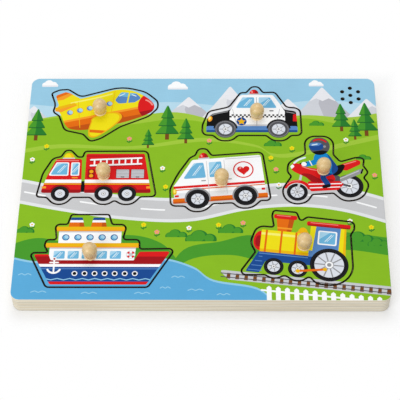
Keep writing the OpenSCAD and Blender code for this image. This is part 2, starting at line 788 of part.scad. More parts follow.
module speaker_basket() {
    color("gray")
    at_speaker(basket_z) rotate_extrude() polygon([
        [0, 0],
        [basket_foot_d / 2, 0],
        [mouth_r, basket_h - basket_t],
        [speaker_r, basket_h - basket_t],
        [speaker_r, basket_h],
        [mouth_r - basket_t, basket_h],
        [basket_foot_d / 2 - basket_t, basket_t],
        [0, basket_t]
    ]);
}

module speaker_magnet() {
    color("dimgray") at_speaker(basket_z - magnet_h) cylinder(d = magnet_d, h = magnet_h);
}

module speaker_cone() {
    color("gainsboro")
    at_speaker(cone_z) rotate_extrude() polygon([
        [0, -cone_h],
        [cone_neck_d / 2, -cone_h],
        [mouth_r - 2 * basket_t, 0],
        [speaker_r, 0],
        [speaker_r, cone_t],
        [mouth_r - 2 * basket_t - cone_t, cone_t],
        [cone_neck_d / 2, cone_t - cone_h],
        [0, cone_t - cone_h]
    ]);
}

module speaker_gasket() {
    color("dimgray")
    at_speaker(pocket_z - gasket_t) difference() {
        cylinder(d = speaker_d, h = gasket_t);
        translate([0, 0, -over]) cylinder(r = mouth_r, h = gasket_t + 2 * over);
    }
}

// Sensor loom: a trunk each way from the circuit board and a branch to each sensor
module sensor_wires() {
    left = min([for (s = sensor_shares) s.x]) * board_w;
    right = max([for (s = sensor_shares) s.x]) * board_w;
    start = circuit_side / 2 - loom_d;
    color("crimson") {
        rod([circuit_at.x - start, trunk_y, loom_z], [left, trunk_y, loom_z], loom_d);
        rod([circuit_at.x + start, trunk_y, loom_z], [right, trunk_y, loom_z], loom_d);
        for (s = sensor_shares) let (at = on_board(s))
            rod([at.x, trunk_y, loom_z],
                [at.x, at.y + sign(at.y - trunk_y) * leads_w / 2, loom_z], wire_d);
    }
}

module speaker_wires() {
    start_x = circuit_at.x + circuit_side / 2 + seat_gap;
    end_y = speaker_at.y - magnet_d / 2 - seat_gap;
    color("red") {
        rod([start_x, trunk_y, speaker_wire_z], [speaker_at.x, trunk_y, speaker_wire_z], wire_d);
        translate([speaker_at.x, trunk_y, speaker_wire_z]) sphere(d = wire_d);
        rod([speaker_at.x, trunk_y, speaker_wire_z], [speaker_at.x, end_y, speaker_wire_z], wire_d);
    }
}

module battery_wires() {
    start_y = battery_at.y + box_l / 2 + seat_gap;
    end_y = circuit_at.y - circuit_side / 2 + 2 * wire_d;
    color("black")
    for (side = [-1, 1])
        let (x = battery_wire_x + side * (wire_d / 2 + seat_gap))
        rod([x, start_y, loom_z], [x, end_y, loom_z], wire_d);
}

module battery_box() {
    color("darkslategray")
    at_battery() difference() {
        union() {
            translate([-box_w / 2, -box_l / 2, 0]) cube([box_w, box_l, box_h]);
            linear_extrude(box_flange_t) flange_plan(0);
        }
        translate([-mouth_w / 2, -mouth_l / 2, -over]) cube([mouth_w, mouth_l, over + ledge_z]);
        translate([-cavity_w / 2, cavity_y, ledge_z - over])
            cube([cavity_w, cavity_l, over + cavity_h]);
        for (side = [-1, 1])
            translate([side * tab_x - tab_w / 2 - bead_gap, hinge_y - bead_d / 2 - bead_gap, -over])
                cube([
                    tab_w + 2 * bead_gap,
                    tab_reach + bead_d / 2 + bead_gap,
                    over + hinge_z + bead_d / 2 + bead_gap
                ]);
        translate([0, door_screw_y, 0])
            cylinder(d = door_screw_d + 2 * swing_gap, h = door_screw_l + 2 * swing_gap);
        box_screw_holes();
    }
}

module box_screws() {
    color("silver")
    at_battery() for (at = ear_places())
        translate([at.x, at.y, head_sink])
            sunk_screw(box_screw_d, box_screw_head_d, box_screw_l);
}

// A cell along Y, its nub towards the far end where way is 1
module cell(side, way) {
    body_l = cell_l - nub_h;
    color("seagreen")
    at_battery()
    translate([side * cell_x, cavity_y + contact_t + (way > 0 ? spring_l : cell_l), cell_z])
    rotate([-90 * way, 0, 0]) {
        cylinder(d = cell_d, h = body_l);
        cylinder(d = nub_d, h = cell_l);
    }
}

module left_cell() { cell(-1, 1); }
module right_cell() { cell(1, -1); }

// A tapered spring against the flat end of each cell
module contact_springs() {
    color("silver")
    at_battery() {
        translate([-cell_x, cavity_y + contact_t, cell_z])
            rotate([-90, 0, 0]) cylinder(d1 = spring_d, d2 = nub_d, h = spring_l);
        translate([cell_x, cavity_y + contact_t + cell_l, cell_z])
            rotate([-90, 0, 0]) cylinder(d1 = nub_d, d2 = spring_d, h = spring_l);
    }
}

module contact_plate(x, y, width) {
    translate([x - width / 2, y, cell_z - contact_side / 2])
        cube([width, contact_t, contact_side]);
}

// Two single plates at the hinge end and one plate that joins the cells at the screw end
module contact_plates() {
    color("silver")
    at_battery() {
        for (side = [-1, 1]) contact_plate(side * cell_x, cavity_y, contact_side);
        contact_plate(0, cavity_y + cavity_l - contact_t, 2 * cell_x + contact_side);
    }
}

// The door's outer edge at the hinge is bevelled, so that it clears the mouth as it swings
module battery_door() {
    door_w = mouth_w - 2 * door_gap;
    door_l = mouth_l - 2 * door_gap;
    bevel = door_t / 2;
    color("dimgray")
    at_battery() difference() {
        union() {
            rotate([90, 0, 90]) linear_extrude(door_w, center = true) polygon([
                [bevel - door_l / 2, door_sink],
                [-door_l / 2, door_sink + bevel],
                [-door_l / 2, door_sink + door_t],
                [door_l / 2, door_sink + door_t],
                [door_l / 2, door_sink]
            ]);
            for (side = [-1, 1]) translate([side * tab_x - tab_w / 2, 0, 0]) {
                translate([0, hinge_y, hinge_z]) rotate([0, 90, 0]) cylinder(d = bead_d, h = tab_w);
                translate([0, hinge_y, door_sink]) cube([tab_w, tab_reach + bevel, door_t]);
            }
        }
        translate([0, door_screw_y, door_sink])
            sunk_hole(door_screw_d, door_screw_head_d, door_screw_l, 0);
    }
}

module door_screw() {
    color("silver")
    at_battery() translate([0, door_screw_y, door_sink])
        sunk_screw(door_screw_d, door_screw_head_d, door_screw_l);
}

front_board();
floor_board();
core_board();
back_board();
back_screws();
airplane_piece();
police_car_piece();
fire_engine_piece();
ambulance_piece();
motorbike_piece();
ship_piece();
locomotive_piece();
airplane_knob();
police_car_knob();
fire_engine_knob();
ambulance_knob();
motorbike_knob();
ship_knob();
locomotive_knob();
airplane_screw();
police_car_screw();
fire_engine_screw();
ambulance_screw();
motorbike_screw();
ship_screw();
locomotive_screw();
airplane_sensor();
police_car_sensor();
fire_engine_sensor();
ambulance_sensor();
motorbike_sensor();
ship_sensor();
locomotive_sensor();
circuit_board();
sound_chip();
amplifier_chip();
storage_capacitor();
resistors();
circuit_screws();
speaker_basket();
speaker_magnet();
speaker_cone();
speaker_gasket();
sensor_wires();
speaker_wires();
battery_wires();
battery_box();
box_screws();
left_cell();
right_cell();
contact_springs();
contact_plates();
battery_door();
door_screw();
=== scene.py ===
"""Looks of the peg puzzle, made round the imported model: its print, woods, metals and small parts."""

import logging
import math
from dataclasses import dataclass, field
from enum import Enum
from functools import cache
from typing import Optional, Sequence, Union

import bpy
import numpy as np
from mathutils import Matrix, Vector
from mathutils.geometry import delaunay_2d_cdt


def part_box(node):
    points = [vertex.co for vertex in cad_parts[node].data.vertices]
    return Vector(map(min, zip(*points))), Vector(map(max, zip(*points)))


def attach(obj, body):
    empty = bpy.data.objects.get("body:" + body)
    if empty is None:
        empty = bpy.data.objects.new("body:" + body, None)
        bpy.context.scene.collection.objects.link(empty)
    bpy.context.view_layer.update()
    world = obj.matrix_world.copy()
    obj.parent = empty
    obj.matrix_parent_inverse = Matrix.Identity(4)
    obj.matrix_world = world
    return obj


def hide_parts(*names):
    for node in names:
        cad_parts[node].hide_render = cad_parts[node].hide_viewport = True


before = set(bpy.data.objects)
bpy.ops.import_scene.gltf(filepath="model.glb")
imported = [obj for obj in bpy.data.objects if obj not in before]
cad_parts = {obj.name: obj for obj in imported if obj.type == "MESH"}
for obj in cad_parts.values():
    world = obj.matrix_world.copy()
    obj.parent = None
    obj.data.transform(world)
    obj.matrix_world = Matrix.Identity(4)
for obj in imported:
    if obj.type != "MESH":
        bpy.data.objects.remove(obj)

log = logging.getLogger("peg_puzzle")
MM = 0.001
Point = tuple[float, float]
Spot = tuple[float, float, float]
Rgb = tuple[float, float, float]
Outline = np.ndarray
Socket = bpy.types.NodeSocket
Value = Union[Socket, float, Sequence[float]]


def linear(rgb: Sequence[float]) -> np.ndarray:
    """Turns an sRGB colour into Blender's linear numbers.

    Args:
        rgb: red, green and blue from 0 to 255.

    Returns:
        The four linear numbers, with full alpha.
    """
    share = np.asarray(rgb, float) / 255
    low = share / 12.92
    high = ((share + 0.055) / 1.055) ** 2.4
    return np.append(np.where(share <= 0.04045, low, high), 1.0)


class Ink(Enum):
    """Inks of the print, as sRGB from 0 to 255."""

    SKY = (155, 205, 230)
    PALE_SKY = (186, 221, 238)
    MIST = (212, 214, 220)
    ROCK = (190, 190, 197)
    SNOW = (238, 238, 242)
    GRASS = (140, 190, 35)
    FAR_GRASS = (164, 203, 62)
    LEAF = (73, 155, 43)
    FIR = (40, 125, 45)
    DEEP_FIR = (28, 98, 42)
    BARK = (121, 72, 28)
    ROAD = (205, 205, 206)
    KERB = (233, 234, 236)
    WATER = (93, 172, 218)
    PALE_WATER = (150, 205, 233)
    YELLOW = (243, 227, 20)
    PALE_YELLOW = (252, 244, 120)
    GOLD = (241, 186, 14)
    AMBER = (250, 160, 40)
    ORANGE = (232, 110, 12)
    RUST = (196, 84, 14)
    RED = (222, 26, 28)
    DARK_RED = (163, 16, 24)
    PINK = (247, 150, 140)
    NAVY = (25, 74, 146)
    BLUE = (90, 137, 196)
    BRIGHT_BLUE = (12, 136, 208)
    GLASS = (112, 184, 222)
    PALE_GLASS = (170, 216, 240)
    GLINT = (226, 244, 252)
    BLACK = (8, 8, 10)
    TYRE = (20, 19, 22)
    WORN = (40, 39, 43)
    DARK_GREY = (84, 84, 89)
    GREY = (152, 152, 155)
    PALE_GREY = (203, 204, 208)
    HUB = (224, 228, 236)
    WHITE = (255, 255, 255)
    BURNT = (16, 11, 8)


def polygon(points: Sequence[Point], radius: float = 0.0) -> Outline:
    """A closed outline with rounded corners.

    Each corner is a parabola of five points from one side to the next, that starts where a circle of
    the radius would touch the side, or just before its middle.

    Args:
        points: the corners in turn.
        radius: the corners' radius.

    Returns:
        The outline's points.
    """
    at = np.asarray(points, float)
    if radius <= 0:
        return at
    to_before, to_after = np.roll(at, 1, 0) - at, np.roll(at, -1, 0) - at
    before, after = np.linalg.norm(to_before, axis=1), np.linalg.norm(to_after, axis=1)
    one, two = to_before / before[:, None], to_after / after[:, None]
    half = np.arccos(np.clip((one * two).sum(1), -0.9999, 0.9999)) / 2
    reach = np.minimum(radius / np.tan(half), 0.49 * np.minimum(before, after))[:, None]
    start, end = at + one * reach, at + two * reach
    s = np.linspace(0, 1, 5)[None, :, None]
    bent = (1 - s) ** 2 * start[:, None] + 2 * s * (1 - s) * at[:, None] + s**2 * end[:, None]
    return bent.reshape(-1, 2)


def bar(x0: float, y0: float, x1: float, y1: float, radius: float = 0.0) -> Outline:
    """An upright rectangle between two opposite corners."""
    return polygon([(x0, y0), (x1, y0), (x1, y1), (x0, y1)], radius)


def curve(points: Sequence[Point], closed: bool = True, steps: int = 7) -> Outline:
    """A smooth Catmull-Rom curve: a cubic in each span, whose slope at a point is half the way
    from the point before to the point after.

    Args:
        points: the places that it passes through.
        closed: whether it runs back to its start.
        steps: points to a span.

    Returns:
        The curve's points.
    """
    at = np.asarray(points, float)
    if not closed:
        at = np.vstack([2 * at[0] - at[1], at, 2 * at[-1] - at[-2]])
    a, b, c, d = np.roll(at, 1, 0), at, np.roll(at, -1, 0), np.roll(at, -2, 0)
    s = (np.arange(steps) / steps)[None, :, None]
    a, b, c, d = (x[:, None] for x in (a, b, c, d))
    bent = b + 0.5 * ((c - a) * s + (2 * a - 5 * b + 4 * c - d) * s**2
                      + (3 * b - a - 3 * c + d) * s**3)
    if closed:
        return bent.reshape(-1, 2)
    return np.vstack([bent[1:-2].reshape(-1, 2), at[-2]])


def oval(x: float, y: float, rx: float, ry: float, turn: float = 0.0) -> Outline:
    """An ellipse: its two half widths times the cosine and sine of a full turn, then turned. It has as
    many points as its size needs.

    Args:
        x: its middle.
        y: its middle.
        rx: half its width.
        ry: half its height.
        turn: degrees that it is turned to the left.

    Returns:
        The outline's points.
    """
    count = int(np.clip(14 + 4 * max(rx, ry), 16, 72))
    t = np.arange(count) * 2 * np.pi / count
    return turned(np.stack([rx * np.cos(t), ry * np.sin(t)], 1), turn) + (x, y)


def disc(x: float, y: float, r: float) -> Outline:
    """A circle."""
    return oval(x, y, r, r)


def polar(x: float, y: float, reach: Union[float, np.ndarray], turn: np.ndarray) -> Outline:
    """Points about a middle: the reach times the cosine and the sine of the turn."""
    return np.stack([x + reach * np.cos(turn), y + reach * np.sin(turn)], 1)


def arc(x: float, y: float, r: float, start: float, end: float, steps: int = 17) -> Outline:
    """Points along part of a circle, from one angle in degrees to another."""
    return polar(x, y, r, np.radians(np.linspace(start, end, steps)))


def dome(x: float, y: float, r: float, height: float) -> Outline:
    """Half an ellipse that stands on its flat side."""
    t = np.linspace(0, np.pi, 20)
    return np.stack([x + r * np.cos(t), y + height * np.sin(t)], 1)


def turned(points: Outline, degrees: float) -> Outline:
    """Points turned to the left about the origin."""
    c, s = math.cos(math.radians(degrees)), math.sin(math.radians(degrees))
    return points @ np.array([[c, s], [-s, c]])


def band(points: Union[Sequence[Point], Outline], width: float, smooth: bool = True) -> Outline:
    """A stroke of even width with round ends: a line's two sides, half the width along its normals,
    and half a circle round each end.

    Args:
        points: the line.
        width: the stroke's width.
        smooth: whether the line is bent smoothly through the points.

    Returns:
        The stroke's outline.
    """
    line = np.asarray(points, float)
    if smooth and 2 < len(line) < 12:
        line = curve(line, closed=False, steps=6)
    way = np.gradient(line, axis=0)
    way /= np.linalg.norm(way, axis=1)[:, None]
    side = np.stack([-way[:, 1], way[:, 0]], 1) * width / 2
    t = np.linspace(0, np.pi, 7)[1:-1, None]
    cap_end = line[-1] + side[-1] * np.cos(t) + way[-1] * width / 2 * np.sin(t)
    cap_start = line[0] - side[0] * np.cos(t) - way[0] * width / 2 * np.sin(t)
    return np.vstack([line + side, cap_end, (line - side)[::-1], cap_start])


def ground(points: Sequence[Point], floor: float = -116.0) -> Outline:
    """The land under a smooth skyline, down to a level floor."""
    line = curve(points, closed=False)
    return np.vstack([line, [line[-1, 0], floor], [line[0, 0], floor]])


def star(x: float, y: float, r: float) -> Outline:
    """A star of five tips, whose corners lie in turn on an outer and a smaller inner circle."""
    k = np.arange(10)
    return polar(x, y, np.where(k % 2 == 0, r, r * 0.45), np.pi / 2 + k * np.pi / 5)


def heart(x: float, y: float, size: float) -> Outline:
    """A heart: the cube of a sine across, and four cosines up.

    Args:
        x: its middle.
        y: its middle.
        size: half its width.

    Returns:
        The outline's points.
    """
    t = np.arange(40) * np.pi / 20
    up = 13 * np.cos(t) - 5 * np.cos(2 * t) - 2 * np.cos(3 * t) - np.cos(4 * t)
    return np.stack([x + size * np.sin(t) ** 3, y + size * up / 16], 1)


def winding(at: Outline, start: Outline, end: Outline) -> np.ndarray:
    """Counts how often directed edges wind round each point: edges that pass upwards on its right
    count one, and those that pass downwards count minus one.

    Args:
        at: the points.
        start: where each edge starts.
        end: where each edge ends.

    Returns:
        One whole number to a point.
    """
    found, chunk = np.zeros(len(at), int), 2048
    (ax, ay), (bx, by) = start.T, end.T
    for k in range(0, len(at), chunk):
        x, y = at[k : k + chunk, 0, None], at[k : k + chunk, 1, None]
        side = (bx - ax) * (y - ay) - (x - ax) * (by - ay)
        up, down = (ay <= y) & (by > y) & (side > 0), (ay > y) & (by <= y) & (side < 0)
        found[k : k + chunk] = up.sum(1) - down.sum(1)
    return found


def inside(at: Outline, outline: Outline) -> np.ndarray:
    """Finds the points round which a closed outline winds.

    Args:
        at: the points.
        outline: the outline.

    Returns:
        Whether each of them is inside.
    """
    found = np.zeros(len(at), bool)
    near = ((at >= outline.min(0)) & (at <= outline.max(0))).all(1)
    found[near] = winding(at[near], outline, np.roll(outline, -1, 0)) != 0
    return found


@dataclass
class Patch:
    """One flat area of ink, cut off by another outline if it has one."""

    ink: Ink
    outline: Outline
    clip: Optional[Outline] = None


@dataclass
class Picture:
    """A picture, as patches in the order in which they are printed over each other. Its places are in
    millimetres from its middle."""

    name: str = ""
    middle: Point = (0.0, 0.0)
    turn: float = 0.0
    printed: list[Patch] = field(default_factory=list)

    def draw(self) -> None:
        """Prints the picture."""
        raise NotImplementedError

    def patches(self) -> list[Patch]:
        """The picture's patches, turned and moved to their place on the board.

        Returns:
            The patches, in the order of printing.
        """
        self.draw()
        for patch in self.printed:
            patch.outline = turned(patch.outline, self.turn) + self.middle
            if patch.clip is not None:
                patch.clip = turned(patch.clip, self.turn) + self.middle
        return self.printed

    def fill(self, ink: Ink, outline: Outline, clip: Optional[Outline] = None) -> Outline:
        """Prints an outline, and gives it back."""
        self.printed.append(Patch(ink, outline, clip))
        return outline

    def fills(self, ink: Ink, outlines: Sequence[Outline], clip: Optional[Outline] = None) -> None:
        """Prints several outlines with one ink."""
        self.printed += [Patch(ink, outline, clip) for outline in outlines]

    def ring(self, ink: Ink, back: Ink, x: float, y: float, r: float, width: float) -> None:
        """Prints a ring, with the ink behind it in its middle."""
        self.fill(ink, disc(x, y, r))
        self.fill(back, disc(x, y, r - width))

    def pane(self, corners: Sequence[Point], radius: float = 1.0, glint: float = 0.5) -> None:
        """Prints a window with a paler corner and two slanted glints.

        Args:
            corners: the pane's corners.
            radius: their radius.
            glint: where the glints stand, as a share of the pane's width.
        """
        glass = self.fill(Ink.GLASS, polygon(corners, radius))
        low, high = glass.min(0), glass.max(0)
        wide, tall = high - low
        shine = [(low[0], low[1] + tall * 0.35), (low[0] + wide * 0.75, high[1] + tall * 0.1),
                 (low[0], high[1] + tall * 0.1)]
        self.fill(Ink.PALE_GLASS, polygon(shine), glass)
        for k, width in ((0.0, 0.7), (1.6, 0.45)):
            x = low[0] + wide * glint + k
            foot, head = (x - tall * 0.22, low[1] + tall * 0.2), (x + tall * 0.22, high[1] - tall * 0.2)
            self.fill(Ink.GLINT, band([foot, head], width), glass)

    def wheel(self, x: float, y: float, r: float, rim: float, hub: float, spokes: int = 0,
              tyre: Ink = Ink.TYRE) -> None:
        """Prints a wheel: tyre with a worn ring, rim, any spokes, and hub.

        Args:
            x: its middle.
            y: its middle.
            r: the tyre's radius.
            rim: the rim's radius.
            hub: the hub's radius.
            spokes: how many spokes the rim has, or 0 for a plain disc.
            tyre: the tyre's ink.
        """
        self.fill(tyre, disc(x, y, r))
        self.ring(Ink.WORN if tyre is Ink.TYRE else Ink.GREY, tyre, x, y, r - 0.9, 0.4)
        self.fill(Ink.HUB, disc(x, y, rim))
        for k in range(spokes):
            way = turned(np.array([[0.0, 1.0]]), 360 * k / spokes + 18)[0]
            ends = np.array([x, y]) + np.outer([hub, rim - 0.6], way)
            self.fill(Ink.GREY, band(ends, max(0.7, rim * 0.09)))
        self.ring(Ink.GREY, Ink.WHITE, x, y, hub + 0.5, 0.5)
        self.fill(Ink.GREY, disc(x, y, hub * 0.55))


@dataclass
class Airplane(Picture):
    """A small round-nosed airplane that flies to the right."""

    name: str = "airplane"
    middle: Point = (-84.0, 72.0)
    window_r: float = 2.5
    nose: Spot = (45.0, 9.6, 17.0)

    def draw(self) -> None:
        """Prints the picture."""
        self.fin()
        body = self.body()
        self.cockpit()
        self.windows()
        self.tail_plane()
        self.wing(body)

    def fin(self) -> None:
        """Prints the upright fin with its two bands."""
        fin = self.fill(Ink.YELLOW, polygon([(-44, 21), (-35.5, 25), (-31, 23.5), (-17, 14), (-40, 8)], 2.2))
        self.fill(Ink.ORANGE, polygon([(-46, 30), (-46, 17), (-38, 18.5), (-28, 26), (-30, 30)]), fin)
        self.fill(Ink.AMBER, polygon([(-46, 16.5), (-46, 14.6), (-37, 16.4), (-26, 24.5), (-27.5, 26)]), fin)

    def body(self) -> Outline:
        """Prints the body with its bands and seams, and its red nose.

        Returns:
            The body's outline.
        """
        body = self.fill(Ink.YELLOW, curve([
            (-41.5, 8), (-36, 14.5), (-22, 17.6), (-6, 22.4), (9, 27.6), (22, 26.6), (33.5, 20.5),
            (41.2, 12.5), (41.6, 5.4), (35.5, 0), (22, -6.2), (4, -12), (-14, -16.3), (-27, -16.2),
            (-33, -12.2), (-37.5, -2)]))
        self.fill(Ink.ORANGE, polygon([(-50, -12.6), (50, 11.8), (50, -40), (-50, -40)]), body)
        self.fill(Ink.RUST, polygon([(-50, -18.6), (50, 5.2), (50, -40), (-50, -40)]), body)
        self.fill(Ink.AMBER, polygon([(-50, -10.4), (50, 14.2), (50, 11.8), (-50, -12.6)]), body)
        self.fill(Ink.PALE_YELLOW, band([(-30, 12.7), (-8, 18.6), (5, 23)], 1.4), body)
        self.fills(Ink.GOLD, [band([(-24, 14), (-21, -14)], 0.6), band([(7.5, 26), (4, -10)], 0.6)], body)
        self.fill(Ink.RED, disc(*self.nose), body)
        self.fill(Ink.DARK_RED, np.vstack([arc(*self.nose, 203, 262), [(50, -20), (50, 8)]]), body)
        self.fill(Ink.PINK, band(arc(31, 6.5, 10.4, 25, 68), 1.5), body)
        return body

    def cockpit(self) -> None:
        """Prints the cockpit's two panes with the bar between them."""
        glass = self.fill(Ink.BLUE, polygon([
            (7.8, 16), (13, 25), (26, 23.6), (31, 18.2), (25, 13.6), (11, 12.2)], 2.6))
        self.fill(Ink.GLASS, polygon([(5, 22), (13, 27), (30, 25), (18, 19.5)]), glass)
        self.fill(Ink.YELLOW, band([(20.6, 27), (18.2, 10)], 1.3), glass)
        glints = [band([(11.6, 20.6), (16, 23.2)], 0.9), band([(22.5, 22), (26, 20.6)], 0.9)]
        self.fills(Ink.GLINT, glints, glass)

    def windows(self) -> None:
        """Prints the round windows with their golden rims."""
        for x, y in ((-30.5, 2.2), (-22, 4.6), (-13.6, 7), (3.2, 12)):
            self.fill(Ink.GOLD, disc(x, y, self.window_r + 0.6))
            pane = self.fill(Ink.BLUE, disc(x, y, self.window_r))
            self.fill(Ink.PALE_GLASS, disc(x + 0.9, y + 0.6, self.window_r * 0.85), pane)

    def tail_plane(self) -> None:
        """Prints the level tail plane and its shaded underside."""
        self.fill(Ink.GOLD, polygon([
            (-43.5, 3.6), (-43.5, 7.6), (-27, 13.2), (-24.5, 10.4), (-38, 2.6)], 1.6))
        self.fill(Ink.AMBER, polygon([(-43.5, 3.6), (-43, 5), (-25, 11), (-24.5, 10.4), (-38, 2.6)], 0.8))

    def wing(self, body: Outline) -> None:
        """Prints the near wing over its shade on the body.

        Args:
            body: the body's outline.
        """
        wing = curve([(-10, -3), (2, 2.2), (11.6, 2), (14.6, -3.2), (9, -11.5), (-1, -20.5), (-7.6, -24.6),
                      (-12.6, -23.6), (-13.6, -17), (-12, -9)])
        self.fill(Ink.RUST, wing + (1.5, -1), body)
        self.fill(Ink.GOLD, wing)
        inner = self.fill(Ink.YELLOW, wing * (0.88, 0.9) + (-0.4, -0.9))
        self.fill(Ink.ORANGE, polygon([(-20, -15.5), (14, -18.5), (14, -21.6), (-20, -18.6)]), inner)


@dataclass
class PoliceCar(Picture):
    """A white and black saloon with a chequered band."""

    name: str = "police_car"
    middle: Point = (42.0, 72.0)
    square: float = 1.75
    band_start: Point = (-18.6, -3.1)
    band_end: float = 29.0

    def draw(self) -> None:
        """Prints the picture."""
        self.fill(Ink.PALE_GREY, bar(-2.6, 21, 8, 23.4, 0.8))
        lamp = self.fill(Ink.RED, dome(2.7, 23.2, 3.9, 4.6))
        self.fill(Ink.DARK_RED, bar(3.4, 22, 8, 30), lamp)
        self.fill(Ink.PINK, oval(0.9, 25.3, 0.8, 1.3, 20))
        body = self.fill(Ink.BLACK, polygon([
            (-38.5, -15), (-38, -4.5), (-33.5, 1), (-18, 5.2), (-9, 21.8), (19, 21.8), (28.6, 5.6),
            (38.6, 3.6), (39.6, -15)], 2.6))
        self.cabin(body)
        self.chequers()
        self.trim(body)
        for x in (-22.2, 23.2):
            self.fill(Ink.BLACK, disc(x, -15.2, 10.3), body)
            self.wheel(x, -15.7, 9.3, 5.7, 1.9, 5, Ink.DARK_GREY)

    def cabin(self, body: Outline) -> None:
        """Prints the white cabin, the blue sill under it and its two windows.

        Args:
            body: the body's outline.
        """
        doors = [(-18.6, -19), (-18.6, 3.5), (29, 3.5), (29, -19)]
        roof = [(-8.6, 24), (18.8, 24)]
        self.fill(Ink.WHITE, polygon(doors[:2] + roof + doors[2:]), body)
        self.fill(Ink.PALE_GREY, bar(-20, -13.4, 30, -10.6), polygon(doors))
        self.fill(Ink.BLUE, bar(-38.6, -19, 39.4, -12.4, 1.8))
        self.fill(Ink.NAVY, bar(-38.6, -19, 39.4, -16.8, 1.1))
        self.pane([(-13.4, 7.4), (-7.4, 19.2), (2.8, 19.2), (2.8, 7.4)], 1.2, 0.6)
        self.pane([(6.6, 7.4), (6.6, 19.2), (16.4, 19.2), (22.4, 7.4)], 1.2, 0.4)

    def chequers(self) -> None:
        """Prints two rows of black squares, one row's squares over the other's gaps."""
        for k in range(28):
            x, y = self.band_start[0] + self.square * k, self.band_start[1] + self.square * (k % 2)
            self.fill(Ink.BLACK, bar(x, y, min(x + self.square, self.band_end), y + self.square))

    def trim(self, body: Outline) -> None:
        """Prints the door seams and handles, the bright lines, the lights and the badge.

        Args:
            body: the body's outline.
        """
        self.fills(Ink.GREY, [band([(4.7, 19), (4.7, -12)], 0.5), band([(-16, 6), (-12.5, -12)], 0.4),
                             band([(24.6, 6), (21, -12)], 0.4)], body)
        self.fills(Ink.DARK_GREY, [bar(-1.2, 3.6, 2.6, 4.8, 0.6), bar(15.6, 3.6, 19.4, 4.8, 0.6)])
        self.fill(Ink.GREY, band([(-34, -0.6), (-28, 1.6), (-20.4, 3.4)], 0.9), body)
        self.fill(Ink.GREY, band([(30.5, 3), (37, 1.6)], 0.8), body)
        self.fill(Ink.AMBER, oval(-35.4, -4.6, 1.9, 3, -14))
        self.fill(Ink.PALE_YELLOW, oval(-35.7, -3.9, 1, 1.8, -14))
        self.fill(Ink.RED, polygon([(38.6, 1), (36, 0), (35.6, -7.2), (39.4, -7.4)], 0.6))
        self.fill(Ink.NAVY, disc(-8.4, -7.4, 4.4))
        self.fill(Ink.GOLD, star(-8.4, -7.6, 3.9))


@dataclass
class FireEngine(Picture):
    """A red fire engine with a ladder over two shutters."""

    name: str = "fire_engine"
    middle: Point = (-87.0, 4.5)
    ladder_y: float = 13.4
    ladder_w: float = 6.0
    ladder_slope: float = 0.045

    def draw(self) -> None:
        """Prints the picture."""
        self.fill(Ink.PALE_GREY, bar(-30.4, 19, -20, 21.4, 0.6))
        lamp = self.fill(Ink.GOLD, dome(-25.2, 21.2, 4.4, 5.2))
        self.fill(Ink.YELLOW, dome(-26, 21.2, 3, 4.2), lamp)
        cab = self.fill(Ink.RED, polygon([
            (-46.8, -15), (-42.4, 2), (-35.4, 20), (-14, 20), (-13, -15)], 2.2))
        box = self.fill(Ink.RED, polygon([(-10.6, -15), (-10.6, 25.4), (38.6, 25.4), (45, -15)], 1.6))
        self.fill(Ink.BLACK, bar(-13.4, -14, -10.2, -3))
        for part in (cab, box):
            self.fill(Ink.DARK_RED, bar(-50, -16, 50, -11.6), part)
            self.fill(Ink.WHITE, bar(-50, -4.8, 50, -1.4), part)
            self.fill(Ink.GOLD, bar(-50, -6.4, 50, -5.4), part)
        self.fill(Ink.DARK_RED, bar(-12, 22.6, 42, 23.4), box)
        self.fill(Ink.PINK, band([(-36, 18.2), (-17, 18.2)], 0.7), cab)
        self.cab_windows()
        self.ladder()
        self.lockers()
        self.fills(Ink.AMBER, [bar(-46, -10.4, -42.4, -8.2, 0.5), bar(41, -10.4, 44.2, -8.2, 0.5)])
        for x, part in ((-30.4, cab), (5.7, box), (25.2, box)):
            self.fill(Ink.DARK_RED, disc(x, -15.6, 9.2), part)
            self.wheel(x, -15.7, 7.6, 4.2, 1.4)

    def cab_windows(self) -> None:
        """Prints the cab's two windows in their white frames, and the door handle."""
        self.fill(Ink.WHITE, polygon([(-41.4, 2.6), (-35.2, 16.4), (-24.6, 16.4), (-24.6, 2.6)], 1.4))
        self.pane([(-39.6, 3.6), (-34.6, 15.4), (-25.6, 15.4), (-25.6, 3.6)], 1, 0.6)
        self.fill(Ink.WHITE, bar(-22.8, 2.6, -15.6, 16.4, 1.2))
        self.pane([(-21.8, 3.6), (-21.8, 15.4), (-16.6, 15.4), (-16.6, 3.6)], 0.8, 0.5)
        self.fill(Ink.AMBER, bar(-21.6, 0, -16.6, 1.2, 0.5))

    def ladder(self) -> None:
        """Prints the sloping ladder over its shade: two rails, then the rungs."""
        for low, ink in ((self.ladder_y - 1, Ink.DARK_RED), (self.ladder_y, Ink.WHITE)):
            for y in (low, low + self.ladder_w):
                self.fill(ink, band([(x, y + x * self.ladder_slope) for x in (-6.5, 36)], 1.6))
            for k in range(8):
                x = -3.4 + 5.2 * k
                y = low + x * self.ladder_slope
                self.fill(ink, band([(x, y), (x, y + self.ladder_w)], 1.3))

    def lockers(self) -> None:
        """Prints the two roller shutters and the panel with its two outlets."""
        for x in (15.5, 28):
            self.fill(Ink.DARK_RED, bar(x - 0.6, -0.1, x + 11.2, 9.6, 0.9))
            shutter = self.fill(Ink.PALE_GREY, bar(x, 0.4, x + 10.6, 9, 0.5))
            self.fills(Ink.GREY, [bar(x, 1.8 + 1.5 * k, x + 10.6, 2.2 + 1.5 * k) for k in range(5)], shutter)
            self.fill(Ink.DARK_GREY, bar(x + 3.8, 0.9, x + 6.8, 1.7, 0.3))
        self.fill(Ink.DARK_RED, bar(-8.6, 0.2, -2.4, 9.4, 0.8))
        for y in (2.6, 6.9):
            self.fill(Ink.GOLD, disc(-5.5, y, 1.7))
            self.fill(Ink.AMBER, disc(-5.5, y, 0.9))


